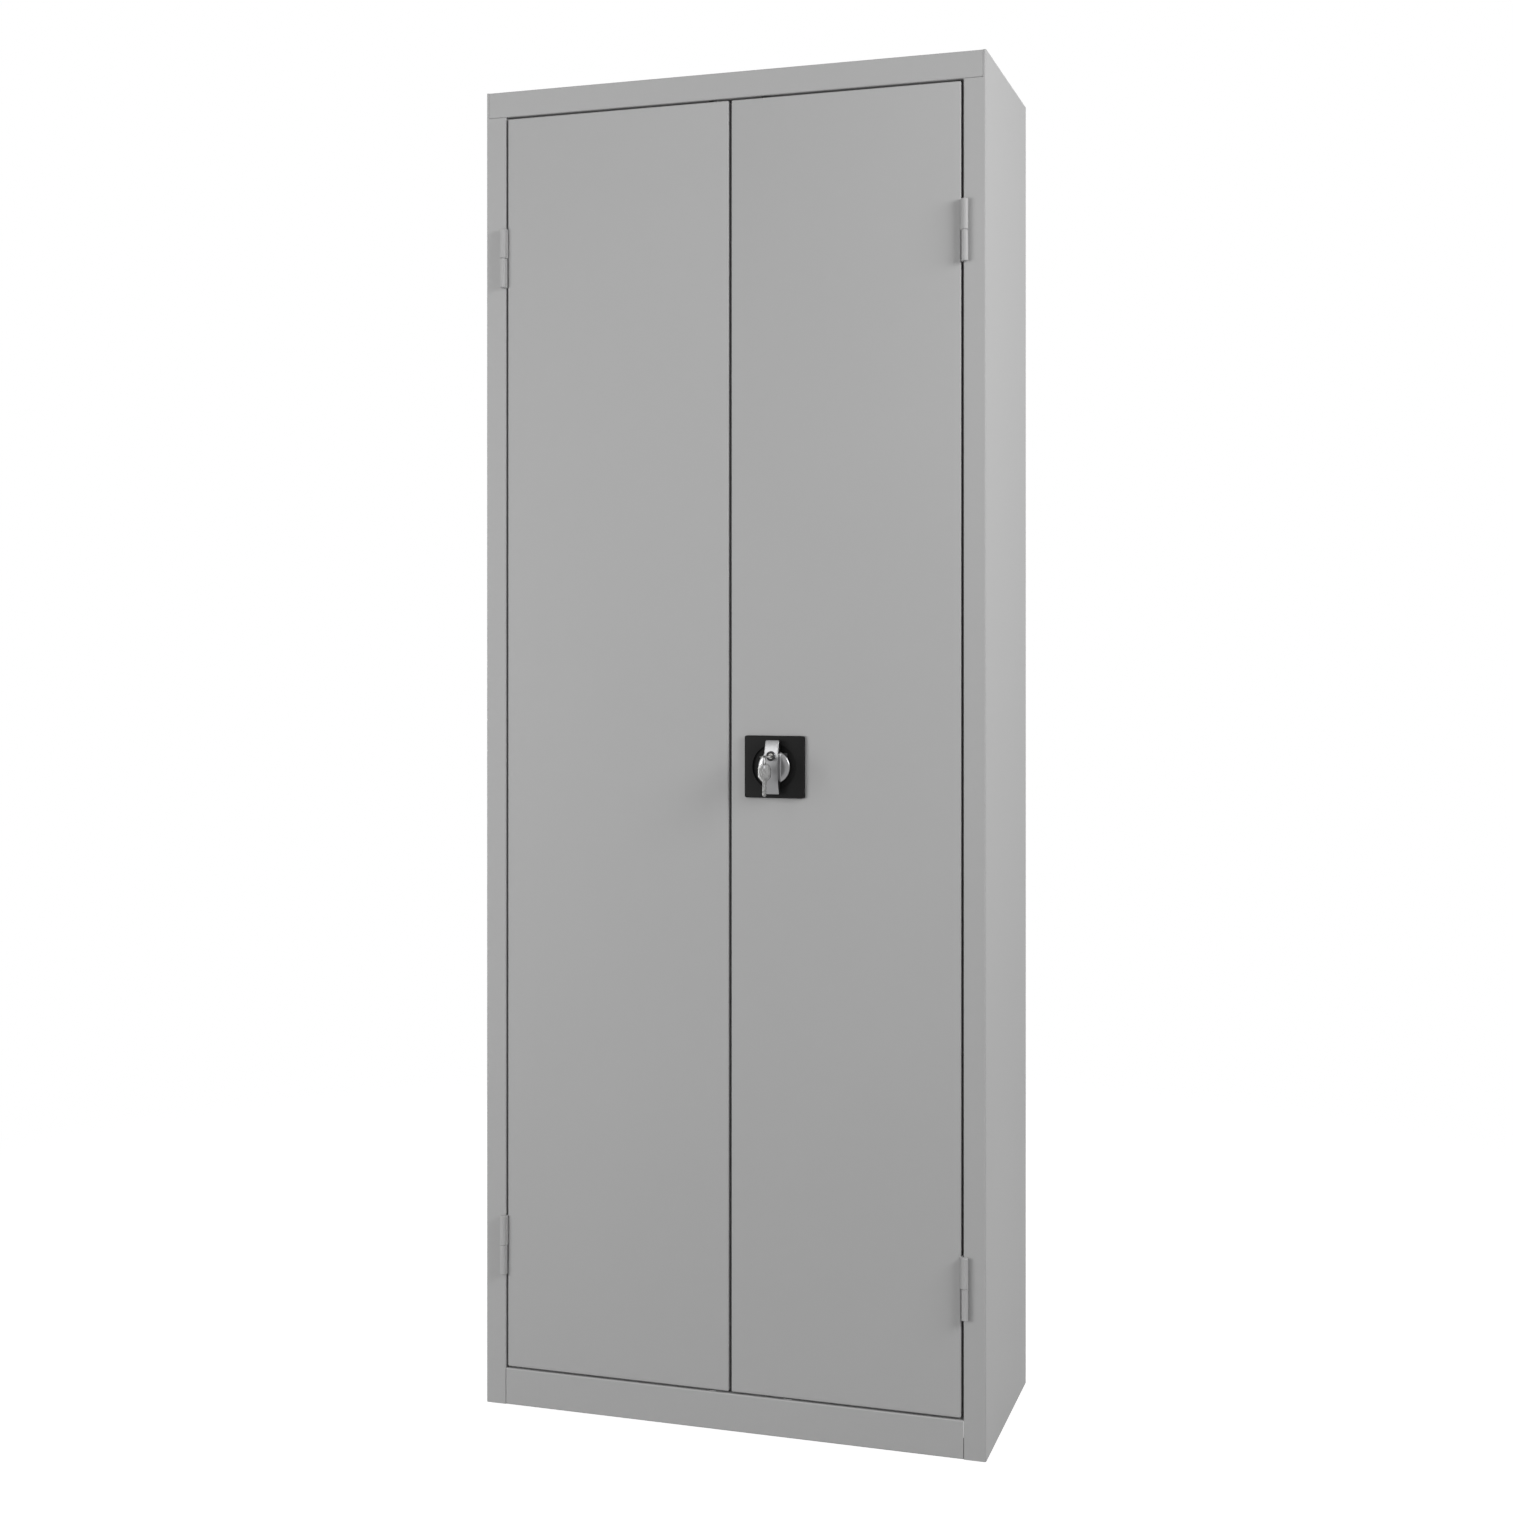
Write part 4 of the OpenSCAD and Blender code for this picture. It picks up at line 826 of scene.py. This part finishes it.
def stamped_bow():
    bm = bmesh.new()
    face = bm.faces.new([bm.verts.new((x, y, 0)) for x, y in key_outline])
    pulled = bmesh.ops.extrude_face_region(bm, geom=[face])["geom"]
    bmesh.ops.translate(
        bm, verts=[g for g in pulled if isinstance(g, bmesh.types.BMVert)], vec=(0, 0, KEY_T))
    bmesh.ops.recalc_face_normals(bm, faces=bm.faces)
    flat_edges = [e for e in folds_of(bm, 70) if abs(e.verts[0].co.z - e.verts[1].co.z) < 0.1]
    soften(bm, flat_edges, KEY_EASE, segments=2)
    press = bmesh.new()
    press_y = BOW_L - half_bow - PRESS_DOWN
    for z in (0, KEY_T):
        ends = round_bar(
            press, half_bow - PRESS_RIM, z - PRESS_DEPTH / 2, z + PRESS_DEPTH / 2, 0, press_y)
        bmesh.ops.scale(
            press, verts=ends, vec=(1, PRESS_SQUASH, 1),
            space=Matrix.Translation((0, -press_y, 0)))
    bm = carve(bm, press)
    for y in RIB_PLACES:
        for z in (0, KEY_T - RIB_H):
            rib = bmesh.new()
            box_solid(rib, (-RIB_L / 2, y - RIB_W / 2, z - RIB_BITE),
                      (RIB_L / 2, y + RIB_W / 2, z + RIB_H + RIB_BITE))
            bm = carve(bm, rib, "UNION")
    hole = bmesh.new()
    round_bar(hole, BOW_HOLE_R, -1, KEY_T + 1, 0, BOW_L - BOW_RIM - BOW_HOLE_R, sides=48)
    return carve(bm, hole)


# %% Cut blade
TOOTH_DEPTHS = (0.7, 1.3, 0.5, 1.1, 0.9)
TOOTH_START = 3.5
TOOTH_PITCH = 3.2
GROOVE_DEPTH = 0.35
GROOVE_TOOL = 0.65
GROOVE_X = (-1.1, -0.2)
GROOVE_START = 1.2


def cut_key():
    cuts = bmesh.new()
    point_down = Matrix.Rotation(math.radians(45), 3, "Z")
    for i, depth in enumerate(TOOTH_DEPTHS):
        box = box_solid(cuts, (-depth, -depth, -KEY_T), (depth, depth, KEY_T))
        bmesh.ops.rotate(cuts, verts=box, cent=(0, 0, 0), matrix=point_down)
        bmesh.ops.translate(
            cuts, verts=box, vec=(half_blade, -TOOTH_START - i * TOOTH_PITCH, KEY_T / 2))
    bm = carve(stamped_bow(), cuts)
    grooves = bmesh.new()
    for z in (GROOVE_DEPTH - GROOVE_TOOL, KEY_T - GROOVE_DEPTH):
        box_solid(grooves, (GROOVE_X[0], -BLADE_L - 1, z),
                  (GROOVE_X[1], -GROOVE_START, z + GROOVE_TOOL))
    return carve(bm, grooves)


# %% Both keys
key_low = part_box("key")[0]
spare_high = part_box("spare_key")[1]
bow_start = (lock_centre.y - key_low.y) / MM - BOW_L
inserted_place = (Matrix.Translation((0, KEY_Y + KEY_T / 2, bow_start))
                  @ Matrix.Rotation(math.radians(90), 4, "X"))
piece("inserted_key", cut_key(), "inserted_key", nickel, ("key",), 30,
      LOCK_FRAME @ inserted_place)
spare_y = (spare_high.z - lock_centre.z) / MM - BOW_L
spare_z = (lock_centre.y - spare_high.y) / MM
piece("spare_key_on_ring", cut_key(), "hanging_key", nickel, ("spare_key",), 30,
      LOCK_FRAME @ Matrix.Translation((0, spare_y, spare_z)))

# %% [markdown]
# ## The ring
#
# A key ring is two turns of flat-lying wire. A plain torus would look moulded, so the wire's
# middle line is written as a path of two turns that change sides over a short stretch, and
# a bevelled curve gives it its thickness.

# %% Key ring
WIRE_R = 0.36
WIRE_APART = 1.03
PACKED_WIRE_R = 0.75
RING_TURNS = 2
RING_STEPS = 144
RING_START = 0.3
CROSSING_START = 0.92
CROSSING_L = 0.16

ring_low, ring_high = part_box("key_ring")
ring_r = (ring_high.z - ring_low.z) / MM / 2 - PACKED_WIRE_R
ring_y = ((ring_low.z + ring_high.z) / 2 - lock_centre.z) / MM
ring_z = (lock_centre.y - (ring_low.y + ring_high.y) / 2) / MM
wire = bpy.data.curves.new("ring_wire", "CURVE")
wire.dimensions = "3D"
wire.bevel_depth = WIRE_R
wire.bevel_resolution = 3
wire.use_fill_caps = True
line = wire.splines.new("POLY")
line.points.add(RING_STEPS)
for k, point in enumerate(line.points):
    turn = RING_TURNS * k / RING_STEPS
    across = min(max((turn - CROSSING_START) / CROSSING_L, 0), 1)
    across = across * across * (3 - 2 * across)
    angle = math.tau * (turn + RING_START)
    point.co = (
        (2 * across - 1) * WIRE_R * WIRE_APART,
        ring_y + ring_r * math.sin(angle), ring_z + ring_r * math.cos(angle), 1)
wire_object = bpy.data.objects.new("ring_wire", wire)
scene.collection.objects.link(wire_object)
wire_mesh = bpy.data.meshes.new_from_object(
    wire_object.evaluated_get(bpy.context.evaluated_depsgraph_get()))
ring = bmesh.new()
ring.from_mesh(wire_mesh)
bpy.data.objects.remove(wire_object)
piece("split_ring", ring, "ring", nickel, ("key_ring",), 40, LOCK_FRAME)

# %% [markdown]
# ## Rubber buffers
#
# The closed doors rest on small rubber pads. Each pad is a turned stud with a domed face. The
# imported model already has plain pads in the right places, so their middles are read from it.

# %% Places of the buffers
pads_low, pads_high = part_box("door_buffers")
pads = bmesh.new()
pads.from_mesh(frame["nodes"]["door_buffers"].data)
bmesh.ops.remove_doubles(pads, verts=pads.verts, dist=SAME_PLACE)
loose = set(pads.verts)
pad_centres = []
while loose:
    island, grow = set(), [next(iter(loose))]
    while grow:
        vert = grow.pop()
        if vert in island:
            continue
        island.add(vert)
        grow += [e.other_vert(vert) for e in vert.link_edges]
    loose -= island
    xs = [v.co.x for v in island]
    zs = [v.co.z for v in island]
    pad_centres.append(((min(xs) + max(xs)) / 2, (min(zs) + max(zs)) / 2))
pads.free()
print(len(pad_centres), "pads were found")

# %% Door buffers
PAD_R = 0.0045
PAD_ROUND = 0.0016
PAD_LEN = pads_high.y - pads_low.y


def buffer(x, z):
    bm = bmesh.new()
    rise = [
        (PAD_R - PAD_ROUND * (1 - math.cos(a)), PAD_LEN - PAD_ROUND * (1 - math.sin(a)))
        for a in (math.radians(k) for k in range(0, 91, 15))]
    lathe(bm, [(0, 0), (PAD_R, 0)] + rise + [(0, PAD_LEN)], sides=32)
    outwards = Matrix.Rotation(math.radians(90), 4, "X")
    bm.transform(Matrix.Translation((x, pads_high.y, z)) @ outwards)
    return bm


piece("door_pads", joined([buffer(x, z) for x, z in sorted(pad_centres)]),
      "case", rubber, ("door_buffers",))
